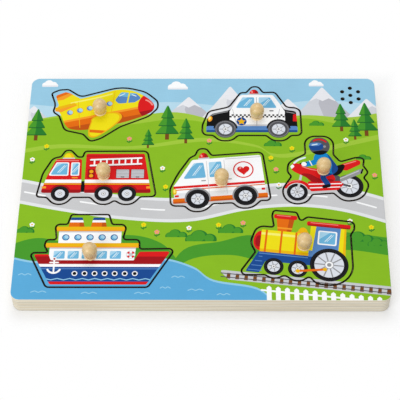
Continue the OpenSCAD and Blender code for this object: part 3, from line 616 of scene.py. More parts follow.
@dataclass
class Ambulance(Picture):
    """A white ambulance that climbs a slope, with a heart in a ring."""

    name: str = "ambulance"
    middle: Point = (15.0, 4.5)
    turn: float = 4.9
    ring_r: float = 8.6

    def draw(self) -> None:
        """Prints the picture."""
        self.fill(Ink.PALE_GREY, bar(-16.4, 20.2, -7, 22.6, 0.7))
        lamp = self.fill(Ink.RED, dome(-11.7, 22.4, 3.9, 5.2))
        self.fill(Ink.DARK_RED, bar(-11, 20, -6, 30), lamp)
        self.fill(Ink.PINK, oval(-13.4, 24.6, 0.8, 1.4, 15))
        body = self.body()
        self.pane([(-30.6, 1.8), (-20.4, 17.4), (-12.4, 17.4), (-11.4, 1.8)], 1.4, 0.6)
        self.pane([(-8, 17.4), (2.6, 17.4), (2.6, 1.8), (-8.2, 1.8)], 1.2, 0.4)
        self.fills(Ink.PALE_GREY, [band([(-9.8, 18.6), (-9.8, -16)], 0.5), band([(5, 18.8), (5, -16)], 0.5)])
        self.fills(Ink.GREY, [bar(-15.6, -1.8, -11.6, -0.7, 0.5), bar(6.8, -1.8, 10, -0.7, 0.5)])
        self.ring(Ink.RED, Ink.WHITE, 20.4, 7.4, self.ring_r, 1.1)
        self.fill(Ink.RED, heart(20.4, 6.9, 5.2))
        self.fill(Ink.PINK, oval(18, 9.2, 0.8, 1.4, -35))
        self.fill(Ink.GOLD, oval(-38.3, -10.6, 1.7, 3.2))
        self.fill(Ink.PALE_YELLOW, oval(-38.4, -10, 0.8, 2))
        self.fills(Ink.RED, [bar(-38.6, -16.2, -35.2, -14.2, 0.5), bar(33.6, -14.6, 36.6, -12.4, 0.5)])
        for x in (-19.9, 19.7):
            self.fill(Ink.GREY, disc(x, -18.8, 10.8), body)
            self.wheel(x, -19.3, 9.6, 5.4, 1.8, 6)

    def body(self) -> Outline:
        """Prints the white body, its shades and its stripes.

        Returns:
            The body's outline.
        """
        body = self.fill(Ink.WHITE, polygon([
            (-39.4, -21.6), (-39, -5), (-35, 0.5), (-21.5, 20.8), (36.2, 21.4), (37.2, -21.6)], 2.4))
        self.fill(Ink.KERB, bar(-42, -17.4, 40, -12.4), body)
        self.fill(Ink.PALE_GREY, bar(6, 19.2, 40, 20), body)
        self.fill(Ink.ORANGE, bar(-40.4, -22.6, 38.2, -17.6, 1.2))
        self.fill(Ink.RUST, bar(-40.4, -22.6, 38.2, -20.8, 0.8))
        self.fill(Ink.RED, bar(-42, -7.6, 40, -5.2), body)
        self.fill(Ink.ORANGE, bar(-42, -9.6, 40, -8.6), body)
        return body


@dataclass
class Motorbike(Picture):
    """A red motorbike, its rider in a closed helmet."""

    name: str = "motorbike"
    middle: Point = (102.0, 13.5)
    front: Point = (-22.9, -22.9)
    rear: Point = (20.5, -16.7)
    helmet_at: Point = (-2.8, 24.6)

    def draw(self) -> None:
        """Prints the picture."""
        self.wheels()
        self.seat_and_engine()
        self.shell()
        self.rider()
        self.helmet()

    def wheels(self) -> None:
        """Prints the wheels, the arm and the fork that hold them, the exhaust and the front guard."""
        self.wheel(*self.rear, 11.6, 7.8, 2.4, 8)
        self.wheel(*self.front, 8.7, 5.6, 1.8, 8)
        self.fill(Ink.DARK_GREY, band([self.rear, (9, -13.5)], 2))
        self.fill(Ink.GREY, band([(9.5, -11.5), (16, -9), (30.4, -1.6)], 4.4))
        self.fill(Ink.PALE_GREY, band([(13, -9.2), (29, -1.2)], 0.9))
        self.fill(Ink.BLACK, band([(31, -3.6), (32.4, 0.4)], 1.4))
        self.fill(Ink.PALE_GREY, band([(-18.6, -3), self.front], 2))
        self.fill(Ink.GREY, disc(*self.front, 1.2))
        self.fill(Ink.RED, band(arc(*self.front, 10.9, 22, 152), 3))
        self.fill(Ink.PINK, band(arc(*self.front, 11.5, 80, 138), 0.6))

    def seat_and_engine(self) -> None:
        """Prints the tail, the seat, the ribbed engine and the striped cowl under it."""
        self.fill(Ink.RED, polygon([
            (12, 0.4), (14.6, 5.6), (27.6, 10.4), (31.2, 9), (30.6, 5.4), (19, -1)], 2))
        self.fill(Ink.PINK, band([(17, 5.2), (27, 8.8)], 0.8))
        self.fill(Ink.BLACK, curve([(3, -2), (8, 2.6), (15, 5.4), (17.6, 3.6), (14, -3.6), (8, -6.6)]))
        self.fill(Ink.DARK_GREY, polygon([(-10, -6), (13, -6), (13, -15), (-9, -15)], 2))
        self.fills(Ink.GREY, [band([(-6 + 4.4 * k, -8), (-5 + 4.4 * k, -14)], 1.1) for k in range(4)])
        cowl = self.fill(Ink.RED, polygon([
            (-14, -12), (12.6, -11.6), (16, -15), (11, -20.6), (-11.4, -22.2), (-14, -18)], 1.6))
        self.fill(Ink.WHITE, band([(-13, -15), (14, -14.2)], 1), cowl)
        self.fill(Ink.WHITE, band([(-12, -18.6), (12.4, -17.6)], 1), cowl)

    def shell(self) -> None:
        """Prints the red shell with its shade and glint, the headlight and the wind screen."""
        shell = self.fill(Ink.RED, curve([
            (-27.4, 2.4), (-25.4, 6.4), (-20, 6), (-13, 2.4), (-4, 0.6), (4, -2.4), (8.4, -7), (8, -11.6),
            (-1, -13), (-10, -12.6), (-15, -8), (-20, -5), (-25.6, -1.4)]))
        shade = curve([(-19, -5), (-12, -4.4), (-4, -9), (7, -10), (8.4, -14), (-12, -14)])
        self.fill(Ink.DARK_RED, shade, shell)
        self.fill(Ink.PINK, band([(-18, 3.2), (-11, 0.4), (-4, -1)], 0.8), shell)
        self.fill(Ink.WHITE, polygon([(-28, 3.4), (-26, 5.8), (-24.4, 3.4), (-27, 0.4)], 0.8))
        self.fill(Ink.GLINT, band([(-24.6, 7), (-20.6, 10.4), (-15.4, 12.6)], 1.7))

    def rider(self) -> None:
        """Prints the rider's leg, boot, jacket, arm and glove."""
        self.fill(Ink.NAVY, band([(6.6, -2.6), (-1, -6.6), (2.8, -15.4)], 4.8))
        self.fill(Ink.BLACK, band([(3.4, -16.4), (-0.6, -17.4)], 3.2))
        jacket = self.fill(Ink.BRIGHT_BLUE, curve([
            (-5, 17.4), (3, 17), (8.4, 9), (11.8, 1.4), (8, -4), (1.6, -2), (-3, 3), (-8, 11)]))
        self.fill(Ink.NAVY, curve([(3, 18), (10, 9), (13, 1), (9, -5), (6.4, -2), (7, 6)]), jacket)
        self.fill(Ink.BRIGHT_BLUE, band([(-2, 13), (-8, 7.6), (-15, 5.6)], 5))
        self.fill(Ink.WHITE, band([(-11.6, 9.2), (-9.8, 4.6)], 0.9))
        self.fill(Ink.BLACK, band([(-19.6, 6.2), (-14.4, 7.4)], 1.3))
        self.fill(Ink.WHITE, disc(-16.4, 5.8, 2.2))

    def helmet(self) -> None:
        """Prints the closed helmet with its dark visor."""
        helmet = self.fill(Ink.DARK_GREY, oval(*self.helmet_at, 8.8, 9.2))
        self.fill(Ink.BLACK, curve([(-12, 17), (0, 20), (8, 16), (0, 13)]), helmet)
        self.fill(Ink.RED, band(arc(*self.helmet_at, 7.2, 40, 128), 1.6), helmet)
        visor = self.fill(Ink.NAVY, curve([
            (-11.8, 24.4), (-9.4, 28), (-2, 28), (0.8, 24.4), (-1.6, 20.8), (-8.8, 20.2)]))
        self.fill(Ink.BLUE, curve([(-14, 26), (-9, 30), (1, 30), (-4, 25)]), visor)
        self.fill(Ink.GLINT, band([(-8.8, 25.8), (-4.6, 26.8)], 1), visor)
        self.fill(Ink.GREY, disc(1.6, 24.2, 1.2))


@dataclass
class Ship(Picture):
    """A passenger ship with two decks and two funnels."""

    name: str = "ship"
    middle: Point = (-81.0, -72.0)
    anchor_x: float = -36.4

    def draw(self) -> None:
        """Prints the picture."""
        for x in (-20.6, -2.4):
            self.funnel(x)
        self.upper_deck()
        self.lower_deck()
        hull = self.hull()
        self.portholes_and_wave(hull)
        self.anchor()
        self.lifebuoy(24.6, 1.2, 3.4)

    def funnel(self, x: float) -> None:
        """Prints one funnel.

        Args:
            x: the funnel's middle.
        """
        foot, head = 27.6, 37
        funnel = self.fill(Ink.ORANGE, polygon([
            (x - 6.6, foot), (x - 4.6, head), (x + 4.6, head), (x + 6.6, foot)], 0.6))
        self.fill(Ink.NAVY, bar(x - 9, 34.4, x + 9, 38), funnel)
        self.fill(Ink.WHITE, bar(x - 9, 32.2, x + 9, 34.4), funnel)
        self.fill(Ink.RUST, bar(x + 2.4, 27, x + 8, 32.2), funnel)

    def upper_deck(self) -> None:
        """Prints the upper deck, its roof and its round windows."""
        upper = self.fill(Ink.WHITE, bar(-34.4, 11.4, 16.4, 24.4))
        self.fill(Ink.PALE_GREY, bar(-36, 22.4, 18, 24.4), upper)
        self.fill(Ink.GOLD, bar(-37, 23.6, 19, 28, 0.9))
        self.fill(Ink.AMBER, bar(-36.4, 23.6, 18.4, 24.9, 0.5))
        for x in (-28.6, -18.8, -9, 0.8, 10.6):
            self.fill(Ink.NAVY, disc(x, 17.6, 3))
            pane = self.fill(Ink.GLASS, disc(x, 17.6, 2.3))
            self.fill(Ink.PALE_GLASS, disc(x + 0.8, 18.4, 1.9), pane)

    def lower_deck(self) -> None:
        """Prints the lower deck, its roof and its wide windows."""
        lower = self.fill(Ink.WHITE, polygon([(-41, -6), (-41, 9), (28.8, 9), (27.2, -6)]))
        self.fill(Ink.PALE_GREY, bar(-42, 6.6, 30, 8.4), lower)
        self.fill(Ink.GOLD, bar(-45, 7.8, 31, 12.2, 0.9))
        self.fill(Ink.AMBER, bar(-44.4, 7.8, 30.4, 9, 0.5))
        for k in range(5):
            x = -37.4 + 11.3 * k
            self.pane([(x, -2.8), (x, 4.6), (x + 9, 4.6), (x + 9, -2.8)], 1, 0.45)

    def hull(self) -> Outline:
        """Prints the hull with its red rail and its stripes.

        Returns:
            The hull's outline.
        """
        hull = self.fill(Ink.NAVY, polygon([
            (-53.6, 1.4), (-41.4, 1.4), (-39.4, -4.2), (27.4, -4.2), (31.6, 3.9), (56.4, 4.3),
            (37.8, -26.8), (-38.8, -26.8)], 1.6))
        self.fill(Ink.DARK_RED, bar(-60, -7.8, 60, 10), hull)
        self.fill(Ink.RED, bar(-60, -0.6, 60, 10), hull)
        self.fill(Ink.DARK_RED, bar(-42, -7.8, 29, -3), hull)
        self.fill(Ink.WHITE, bar(-60, -10.4, 60, -7.8), hull)
        self.fill(Ink.RED, bar(-60, -28, 60, -24.2), hull)
        self.fill(Ink.BLUE, bar(-60, -12.6, 60, -11.8), hull)
        return hull

    def portholes_and_wave(self, hull: Outline) -> None:
        """Prints the portholes and the wave along the water line.

        Args:
            hull: the hull's outline.
        """
        for k in range(7):
            self.ring(Ink.WHITE, Ink.BLACK, -19.5 + 8 * k, -16.6, 2.3, 0.8)
        waves = [(-48 + 5 * k, -22.6 + 1.3 * (k % 2)) for k in range(20)]
        self.fill(Ink.PALE_WATER, band(waves, 0.9, False), hull)

    def anchor(self) -> None:
        """Prints the anchor: its eye, then its shank, stock and arms."""
        x = self.anchor_x
        self.ring(Ink.WHITE, Ink.DARK_RED, x, -3, 1.7, 0.8)
        self.fill(Ink.WHITE, band([(x, -4.6), (x, -16)], 1.3))
        self.fill(Ink.WHITE, band([(x - 3.2, -6.4), (x + 3.2, -6.4)], 1.3))
        self.fill(Ink.WHITE, band(arc(x, -10.8, 5.4, 205, 335), 1.6))

    def lifebuoy(self, x: float, y: float, r: float) -> None:
        """Prints a lifebuoy with four red quarters.

        Args:
            x: its middle.
            y: its middle.
            r: its radius.
        """
        self.fill(Ink.PALE_GREY, disc(x, y, r + 0.4))
        whole = self.fill(Ink.WHITE, disc(x, y, r))
        for k in range(4):
            wedge = np.vstack([[(x, y)], arc(x, y, r * 1.3, 90 * k + 22, 90 * k + 68, 7)])
            self.fill(Ink.RED, wedge, whole)
        self.fill(Ink.PALE_GREY, disc(x, y, r * 0.5))


@dataclass
class Locomotive(Picture):
    """A small steam engine that rolls down to the left, its boiler in front of a high cab."""

    name: str = "locomotive"
    middle: Point = (78.0, -67.5)
    turn: float = -6.5
    front_pin: Point = (1.0, -18.4)
    rear_pin: Point = (22.4, -14.6)

    def draw(self) -> None:
        """Prints the picture."""
        self.chimney()
        self.boiler()
        self.catcher()
        self.cab()
        for x in (-18.3, 1.0):
            self.wheel(x, -16.4, 7.9, 5, 1.5, 6)
        self.wheel(25.5, -9.9, 15.4, 11.8, 3.2, 10)
        self.fill(Ink.ORANGE, band([self.front_pin, self.rear_pin], 2))
        self.fills(Ink.GOLD, [disc(*self.front_pin, 1.7), disc(*self.rear_pin, 1.7)])

    def chimney(self) -> None:
        """Prints the chimney and the steam dome."""
        chimney = self.fill(Ink.ORANGE, polygon([(-18, 16), (-20.2, 31), (-5.4, 31), (-7.4, 16)]))
        self.fill(Ink.RUST, polygon([(-11, 16), (-9.6, 31), (-4, 31), (-5, 16)]), chimney)
        self.fill(Ink.AMBER, bar(-20, 20, -5, 21.6), chimney)
        self.fill(Ink.RED, bar(-22.4, 29.8, -3.4, 34, 1.6))
        self.fill(Ink.PINK, band([(-20, 32.8), (-9, 32.8)], 0.6))
        self.fill(Ink.GOLD, dome(2.2, 17, 4.2, 6.4))
        self.fill(Ink.AMBER, bar(-2.8, 16.8, 7.2, 18.8, 0.5))

    def boiler(self) -> None:
        """Prints the boiler with its front plate and its hoops."""
        self.fill(Ink.RED, oval(-31, 7, 5.8, 9.4))
        self.fill(Ink.DARK_RED, oval(-32.6, 6.4, 2.6, 5.4))
        boiler = self.fill(Ink.YELLOW, bar(-31, -4.2, 12, 17.8, 0.8))
        self.fill(Ink.PALE_YELLOW, bar(-40, 13, 14, 15.2), boiler)
        self.fill(Ink.GOLD, bar(-40, -5, 14, -0.6), boiler)
        self.fills(Ink.ORANGE, [bar(x, -5, x + 1.6, 19) for x in (-27.6, -15.4, -3.6)], boiler)

    def catcher(self) -> None:
        """Prints the frame with the barred catcher in front."""
        self.fill(Ink.NAVY, polygon([
            (-31.6, -3.4), (-40.4, -23.2), (-29.4, -23.2), (-25.4, -12), (14, -12), (14, -3.4)], 1))
        self.fill(Ink.BLUE, bar(-31, -5.6, 14, -4.6))
        for k in range(4):
            y = -8 - 4.4 * k
            self.fill(Ink.BLUE, band([(-31 - 2.4 * k, y), (-28.4 + 0.2 * k, y)], 0.7))

    def cab(self) -> None:
        """Prints the cab, its yellow posts, its window and its roof."""
        cab = self.fill(Ink.BLUE, polygon([(8.2, -12), (8.2, 27), (36.6, 27), (37.8, -8)]))
        self.fill(Ink.NAVY, polygon([(8.2, -12), (8.2, -4), (38.6, -1), (38.6, -12)]), cab)
        self.fill(Ink.YELLOW, polygon([(8.2, 26.6), (8.2, 2), (11, 2), (12.8, 26.6)]))
        self.fill(Ink.YELLOW, polygon([(32.6, 26.6), (31.6, -4), (38, -6), (37, 26.6)]))
        self.fill(Ink.GOLD, polygon([(35.6, 26.6), (35.6, -4), (38, -6), (37, 26.6)]))
        self.fill(Ink.WHITE, bar(14.6, 8.4, 30, 22, 1.6))
        self.pane([(15.8, 9.6), (15.8, 20.8), (28.8, 20.8), (28.8, 9.6)], 1, 0.55)
        self.fill(Ink.RED, bar(4.8, 25.6, 40.4, 30, 1.8))
        self.fill(Ink.DARK_RED, bar(5.8, 25.6, 39.8, 26.9, 0.6))
        self.fill(Ink.PINK, band([(8, 28.8), (30, 28.8)], 0.6))


@dataclass
class Scenery(Picture):
    """The landscape over the whole board, in millimetres from its middle."""

    half: Point = (152.0, 114.0)
    far_peaks: tuple[Spot, ...] = ((-12, 36, 34), (104, 47, 36))
    near_peaks: tuple[Spot, ...] = ((24, 48, 34), (74, 34, 30), (142, 34, 30), (-146, 26, 24))
    peak_foot: float = 56.0
    clouds: tuple[Spot, ...] = ((-22, 101, 0.75), (-134, 104, 0.6), (99, 104.5, 0.55))
    horizon: tuple[Point, ...] = (
        (-156, 62), (-118, 69), (-70, 61), (-22, 67), (30, 60), (84, 68), (124, 61), (156, 66))
    road_line: tuple[Point, ...] = (
        (-158, -7), (-112, -17), (-62, -25), (-12, -27), (34, -16), (78, -12), (118, -17), (158, -30))
    road_w: float = 18.0
    shore: tuple[Point, ...] = (
        (-156, -74), (-130, -79), (-100, -74), (-60, -78), (-30, -76), (-6, -84), (10, -96), (44, -103),
        (60, -118))
    ripples: tuple[Spot, ...] = (
        (-140, -90, 5), (-128, -106, 6), (-18, -92, 5), (-4, -104, 6), (18, -108, 5), (-46, -107, 6),
        (-88, -107, 6), (-28, -102, 4))
    firs: tuple[Spot, ...] = (
        (-142, 44, 34), (-30, 45, 37), (-14, 41, 27), (-46, 36, 20), (119, 54, 30), (140, 49, 36),
        (130, 45, 22))
    shrubs: tuple[Spot, ...] = (
        (0, -58, 1.0), (24, -50, 0.8), (-20, -54, 0.7), (128, -58, 0.9), (143, -62, 0.7),
        (-143, -50, 0.6), (60, 38, 0.6), (98, 60, 0.5), (136, 24, 0.5))
    flowers: tuple[Point, ...] = (
        (-143, 24), (-132, 38), (-62, 46), (-33, 15), (-30, -4), (62, 14), (64, -2), (58, 26), (144, 8),
        (-138, -42), (-47, -42), (-36, -49), (-10, -45), (14, -42), (34, -40), (121, -38), (138, -44),
        (6, 44), (122, 45), (76, 36))
    petals: tuple[Ink, ...] = (Ink.WHITE, Ink.YELLOW, Ink.PINK)

    def draw(self) -> None:
        """Prints the landscape, from the sky to the nearest things."""
        self.sky()
        self.meadows()
        self.road()
        self.banks()
        self.lake()
        self.railway()
        for spot in self.firs:
            self.fir(*spot)
        for spot in self.shrubs:
            self.shrub(*spot)
        for k, (x, y) in enumerate(self.flowers):
            self.flower(x, y, self.petals[k % 3])

    def sky(self) -> None:
        """Prints the sky, the mountains and the clouds."""
        w, h = self.half
        self.fill(Ink.SKY, bar(-w, -h, w, h))
        haze = [(-156, 84), (-96, 79), (-30, 86), (40, 80), (100, 88), (156, 82)]
        self.fill(Ink.PALE_SKY, ground(haze, 50))
        for peak in self.far_peaks:
            self.mountain(*peak, Ink.MIST, Ink.ROCK)
        for peak in self.near_peaks:
            self.mountain(*peak, Ink.KERB, Ink.MIST)
        for spot in self.clouds:
            self.cloud(*spot)

    def mountain(self, x: float, height: float, half: float, ink: Ink, shade: Ink) -> None:
        """Prints a peak with a shaded flank and a jagged white cap.

        Args:
            x: where the peak stands.
            height: its height over its foot.
            half: half the width of its foot.
            ink: the lit flank's ink.
            shade: the shaded flank's ink.
        """
        foot = self.peak_foot
        top = foot + height
        shape = self.fill(ink, polygon([
            (x - half, foot), (x - half * 0.42, foot + height * 0.55), (x, top),
            (x + half * 0.36, foot + height * 0.62), (x + half, foot)], 1.5))
        self.fill(shade, polygon([
            (x, top + 1), (x - half * 0.1, foot + height * 0.6), (x + half * 0.12, foot),
            (x + half, foot), (x + half, top)]), shape)
        low = foot + height * 0.66
        teeth = [(x + half * t, low + (3 if k % 2 else 0)) for k, t in enumerate(np.linspace(-0.6, 0.6, 9))]
        self.fill(Ink.SNOW, polygon(teeth + [(x + half, top + 2), (x - half, top + 2)]), shape)

    def cloud(self, x: float, y: float, size: float) -> None:
        """Prints a flat-bottomed cloud of four puffs.

        Args:
            x: its middle.
            y: its flat bottom.
            size: its scale.
        """
        base = bar(x - 12 * size, y - 1, x + 12 * size, y + 20)
        for dx, dy, r in ((-7, 2.2, 4.4), (-1.6, 4.6, 6.2), (5.4, 2.8, 4.8), (9.6, 0.6, 2.8)):
            self.fill(Ink.WHITE, disc(x + dx * size, y + dy * size, r * size), base)
        self.fill(Ink.SNOW, bar(x - 11.4 * size, y - 1, x + 12 * size, y + 1.2 * size, 1.1 * size), base)

    def meadows(self) -> None:
        """Prints the far hills and a paler fold in the grass."""
        self.fill(Ink.FAR_GRASS, ground([(x, y + 5 - 4 * math.sin(x / 31)) for x, y in self.horizon]))
        self.fill(Ink.GRASS, ground(self.horizon))
        fold = [(-156, 34), (-120, 40), (-60, 38), (0, 47), (44, 40), (70, 30), (156, 52)]
        self.fill(Ink.FAR_GRASS, ground(fold, 20))
        near = [(-156, 30), (-118, 36), (-58, 35), (2, 43), (46, 37), (72, 26), (156, 47)]
        self.fill(Ink.GRASS, ground(near))

    def road(self) -> None:
        """Prints the winding road with its kerbs and its broken middle line."""
        road = curve(self.road_line, closed=False, steps=8)
        self.fill(Ink.KERB, band(road, self.road_w + 6, False))
        self.fill(Ink.ROAD, band(road, self.road_w, False))
        self.fills(Ink.WHITE, [band(road[k : k + 4], 1.5, False) for k in range(2, len(road) - 4, 8)])

    def banks(self) -> None:
        """Prints the darker banks in front, on the right and on the left."""
        right = [(-30, -96), (-14, -66), (16, -58), (40, -52), (66, -60), (100, -48), (156, -55)]
        near = [(-34, -100), (-10, -76), (24, -71), (60, -78), (110, -66), (156, -72)]
        left = [(-156, -62), (-132, -55), (-100, -60), (-60, -52), (-32, -60), (-16, -80), (0, -100)]
        for ink, line in ((Ink.LEAF, right), (Ink.GRASS, near), (Ink.LEAF, left)):
            self.fill(ink, ground(line))

    def lake(self) -> None:
        """Prints the lake at the lower left, its beach line and its ripples."""
        self.fill(Ink.PALE_WATER, ground([(x, y + 1.8) for x, y in self.shore], -118))
        water = self.fill(Ink.WATER, ground(self.shore, -118))
        for x, y, size in self.ripples:
            line = [(x - size, y), (x - size / 2, y + 1.1), (x, y), (x + size / 2, y + 1.1), (x + size, y)]
            self.fill(Ink.PALE_WATER, band(line, 0.8), water)

    @staticmethod
    def track(x: float, drop: float = 0.0) -> Point:
        """A place on the track's upper edge, which falls evenly to the right, or a drop under it."""
        return x, -86.5 - 0.114 * (x - 30) - drop

    def railway(self) -> None:
        """Prints the track on its bed under the locomotive, and the fence in front of it."""
        bed = [self.track(14), self.track(156), self.track(156, 8.4), self.track(22, 8.4)]
        self.fill(Ink.PALE_GREY, polygon(bed, 2))
        for k in range(20):
            x, y = self.track(21 + 7 * k)
            sleeper = [(x, y - 2.2), (x + 2.6, y - 2.5), (x + 2.2, y - 7.6), (x - 0.8, y - 7.3)]
            self.fill(Ink.BARK, polygon(sleeper))
        for drop in (2.9, 6.2):
            self.fill(Ink.DARK_GREY, band([self.track(16, drop), self.track(156, drop)], 0.8, False))
        for k in range(15):
            x, top = self.track(52 + 7.2 * k, 10.6)
            picket = [(x, -116), (x, top - 1.6), (x + 1.9, top), (x + 3.8, top - 1.6), (x + 3.8, -116)]
            self.fill(Ink.WHITE, polygon(picket))
        self.fill(Ink.WHITE, band([self.track(48, 15), self.track(156, 15)], 1.6, False))

    def fir(self, x: float, y: float, height: float) -> None:
        """Prints a fir of three tiers, its right side in the shade.

        Args:
            x: its foot.
            y: its foot.
            height: its height.
        """
        self.fill(Ink.BARK, bar(x - height * 0.045, y, x + height * 0.045, y + height * 0.3))
        for k in range(3):
            low, wide = y + height * (0.16 + 0.23 * k), height * (0.29 - 0.065 * k)
            tier = self.fill(Ink.LEAF, polygon([
                (x - wide, low), (x, low + height * 0.42), (x + wide, low)], height * 0.03))
            self.fill(Ink.FIR, polygon([
                (x - wide * 0.1, low - 1), (x, low + height * 0.45), (x + wide * 1.1, low - 1)]), tier)
            self.fill(Ink.DEEP_FIR, bar(x - wide, low - 1, x + wide, low + 0.9), tier)

    def shrub(self, x: float, y: float, size: float) -> None:
        """Prints a low round shrub with a paler crown.

        Args:
            x: its middle.
            y: its foot.
            size: its scale.
        """
        base = bar(x - 14 * size, y, x + 14 * size, y + 20 * size)
        for ink, puffs in ((Ink.FIR, ((-8, 1.5, 5), (-1.5, 3.5, 7.4), (7, 1.8, 5.6))),
                           (Ink.LEAF, ((-8.6, 2.3, 3.6), (-2.2, 5, 5.4), (6.4, 2.8, 3.9)))):
            self.fills(ink, [disc(x + dx * size, y + dy * size, r * size) for dx, dy, r in puffs], base)

    def flower(self, x: float, y: float, ink: Ink) -> None:
        """Prints a small flower of five petals on a stalk with two leaves.

        Args:
            x: the bloom's middle.
            y: the bloom's middle.
            ink: the petals' ink.
        """
        self.fill(Ink.FIR, band([(x, y - 4.6), (x + 0.3, y)], 0.55))
        self.fills(Ink.FIR, [oval(x - 1.2, y - 3.4, 1.4, 0.55, -35), oval(x + 1.5, y - 2.8, 1.4, 0.55, 35)])
        ways = np.radians(np.arange(5) * 72 + 90)
        self.fills(ink, [disc(x + 1.25 * math.cos(a), y + 1.25 * math.sin(a), 0.95) for a in ways])
        self.fill(Ink.GOLD, disc(x, y, 0.8))


def node_points(name: str) -> np.ndarray:
    """Reads the vertices of a CAD node.

    Args:
        name: the node.

    Returns:
        One row to a vertex, in metres.
    """
    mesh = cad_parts[name].data
    at = np.empty(len(mesh.vertices) * 3, np.float32)
    mesh.vertices.foreach_get("co", at)
    return at.reshape(-1, 3)


def border(faces: np.ndarray, count: int) -> tuple[np.ndarray, np.ndarray]:
    """Finds the triangles' outer edges, whose reverse no triangle has.

    Args:
        faces: the triangles.
        count: how many points there are.

    Returns:
        The edges, and the triangle that each belongs to.
    """
    edges = np.vstack([faces[:, [0, 1]], faces[:, [1, 2]], faces[:, [2, 0]]])
    owner = np.tile(np.arange(len(faces)), 3)
    outer = ~np.isin(edges[:, 0] * count + edges[:, 1], edges[:, 1] * count + edges[:, 0])
    return edges[outer], owner[outer]


@dataclass
class Region:
    """The flat top of a CAD solid, as directed edges with the solid on their left."""

    start: Outline
    end: Outline
    inner_start: Outline
    inner_end: Outline
    top: float

    @classmethod
    def of_node(cls, name: str, burn: float, keep_edge: float) -> "Region":
        """Reads a node's top face. The burnt rim's inner line is its border, moved inwards.

        Args:
            name: the CAD node.
            burn: width of the burnt rim, in millimetres.
            keep_edge: borders this close to the node's box, in millimetres, don't burn.

        Returns:
            The region, in millimetres.
        """
        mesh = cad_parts[name].data
        mesh.calc_loop_triangles()
        faces = np.empty(len(mesh.loop_triangles) * 3, np.int32)
        mesh.loop_triangles.foreach_get("vertices", faces)
        at = node_points(name).astype(float) / MM
        low, high, top = at[:, :2].min(0), at[:, :2].max(0), at[:, 2].max()
        keys, same = np.unique(np.round(at, 3), axis=0, return_inverse=True)
        faces = same.reshape(-1)[faces].reshape(-1, 3)
        faces = faces[(keys[faces][:, :, 2] > top - 0.002).all(1)]
        edge, flat = border(faces, len(keys))[0], keys[:, :2]
        near = (np.minimum(flat - low, high - flat) < keep_edge).any(1) & (keep_edge > 0)
        moved = flat + cls.inwards(flat, edge) * np.where(near, 0, burn)[:, None]
        start, end = edge.T
        return cls(flat[start], flat[end], moved[start], moved[end], top)

    @staticmethod
    def inwards(flat: Outline, edge: np.ndarray) -> Outline:
        """Finds the way into the solid at each point: the sum of its edges' left normals, made one long.

        Args:
            flat: the points.
            edge: the edges, as pairs of their numbers.

        Returns:
            One step to a point, and none where no edge is.
        """
        way = flat[edge[:, 1]] - flat[edge[:, 0]]
        normal = np.stack([-way[:, 1], way[:, 0]], 1) / np.linalg.norm(way, axis=1)[:, None]
        total = np.zeros_like(flat)
        np.add.at(total, edge[:, 0], normal)
        np.add.at(total, edge[:, 1], normal)
        size = np.linalg.norm(total, axis=1)[:, None]
        return np.divide(total, size, out=np.zeros_like(total), where=size > 0)

    def cut(self, hole: Outline) -> None:
        """Takes a hole out of the region."""
        self.start, self.end = np.vstack([self.start, hole]), np.vstack([self.end, np.roll(hole, -1, 0)])

    def holds(self, at: Outline) -> np.ndarray:
        """Which of the points lie in the region: an odd number of its edges passes them."""
        return winding_parity(at, self.start, self.end)

    def burnt(self, at: Outline) -> np.ndarray:
        """Which of the region's points lie in its burnt rim."""
        return ~winding_parity(at, self.inner_start, self.inner_end)


def winding_parity(at: Outline, start: Outline, end: Outline) -> np.ndarray:
    """Which points have an odd number of undirected edges on their right."""
    swap = (start[:, 1] > end[:, 1])[:, None]
    return winding(at, np.where(swap, end, start), np.where(swap, start, end)) % 2 == 1


def make_mesh(name: str, at: np.ndarray, faces: np.ndarray, smooth: bool = False) -> bpy.types.Object:
    """Makes an object from vertices and faces of equal size.

    Args:
        name: the object's name.
        at: the vertices in millimetres, one row each.
        faces: the faces' vertices, one row each.
        smooth: whether the faces are shaded as one smooth surface.

    Returns:
        The object, at the origin.
    """
    mesh = bpy.data.meshes.new(name)
    faces = np.asarray(faces, np.int32)
    sides = faces.shape[1]
    mesh.vertices.add(len(at))
    mesh.vertices.foreach_set("co", (np.asarray(at) * MM).astype(np.float32).ravel())
    mesh.loops.add(faces.size)
    mesh.loops.foreach_set("vertex_index", faces.ravel())
    mesh.polygons.add(len(faces))
    mesh.polygons.foreach_set("loop_start", np.arange(0, faces.size, sides, dtype=np.int32))
    mesh.polygons.foreach_set("use_smooth", np.full(len(faces), smooth))
    mesh.update(calc_edges=True)
    mesh.validate()
    made = bpy.data.objects.new(name, mesh)
    bpy.context.scene.collection.objects.link(made)
    return made


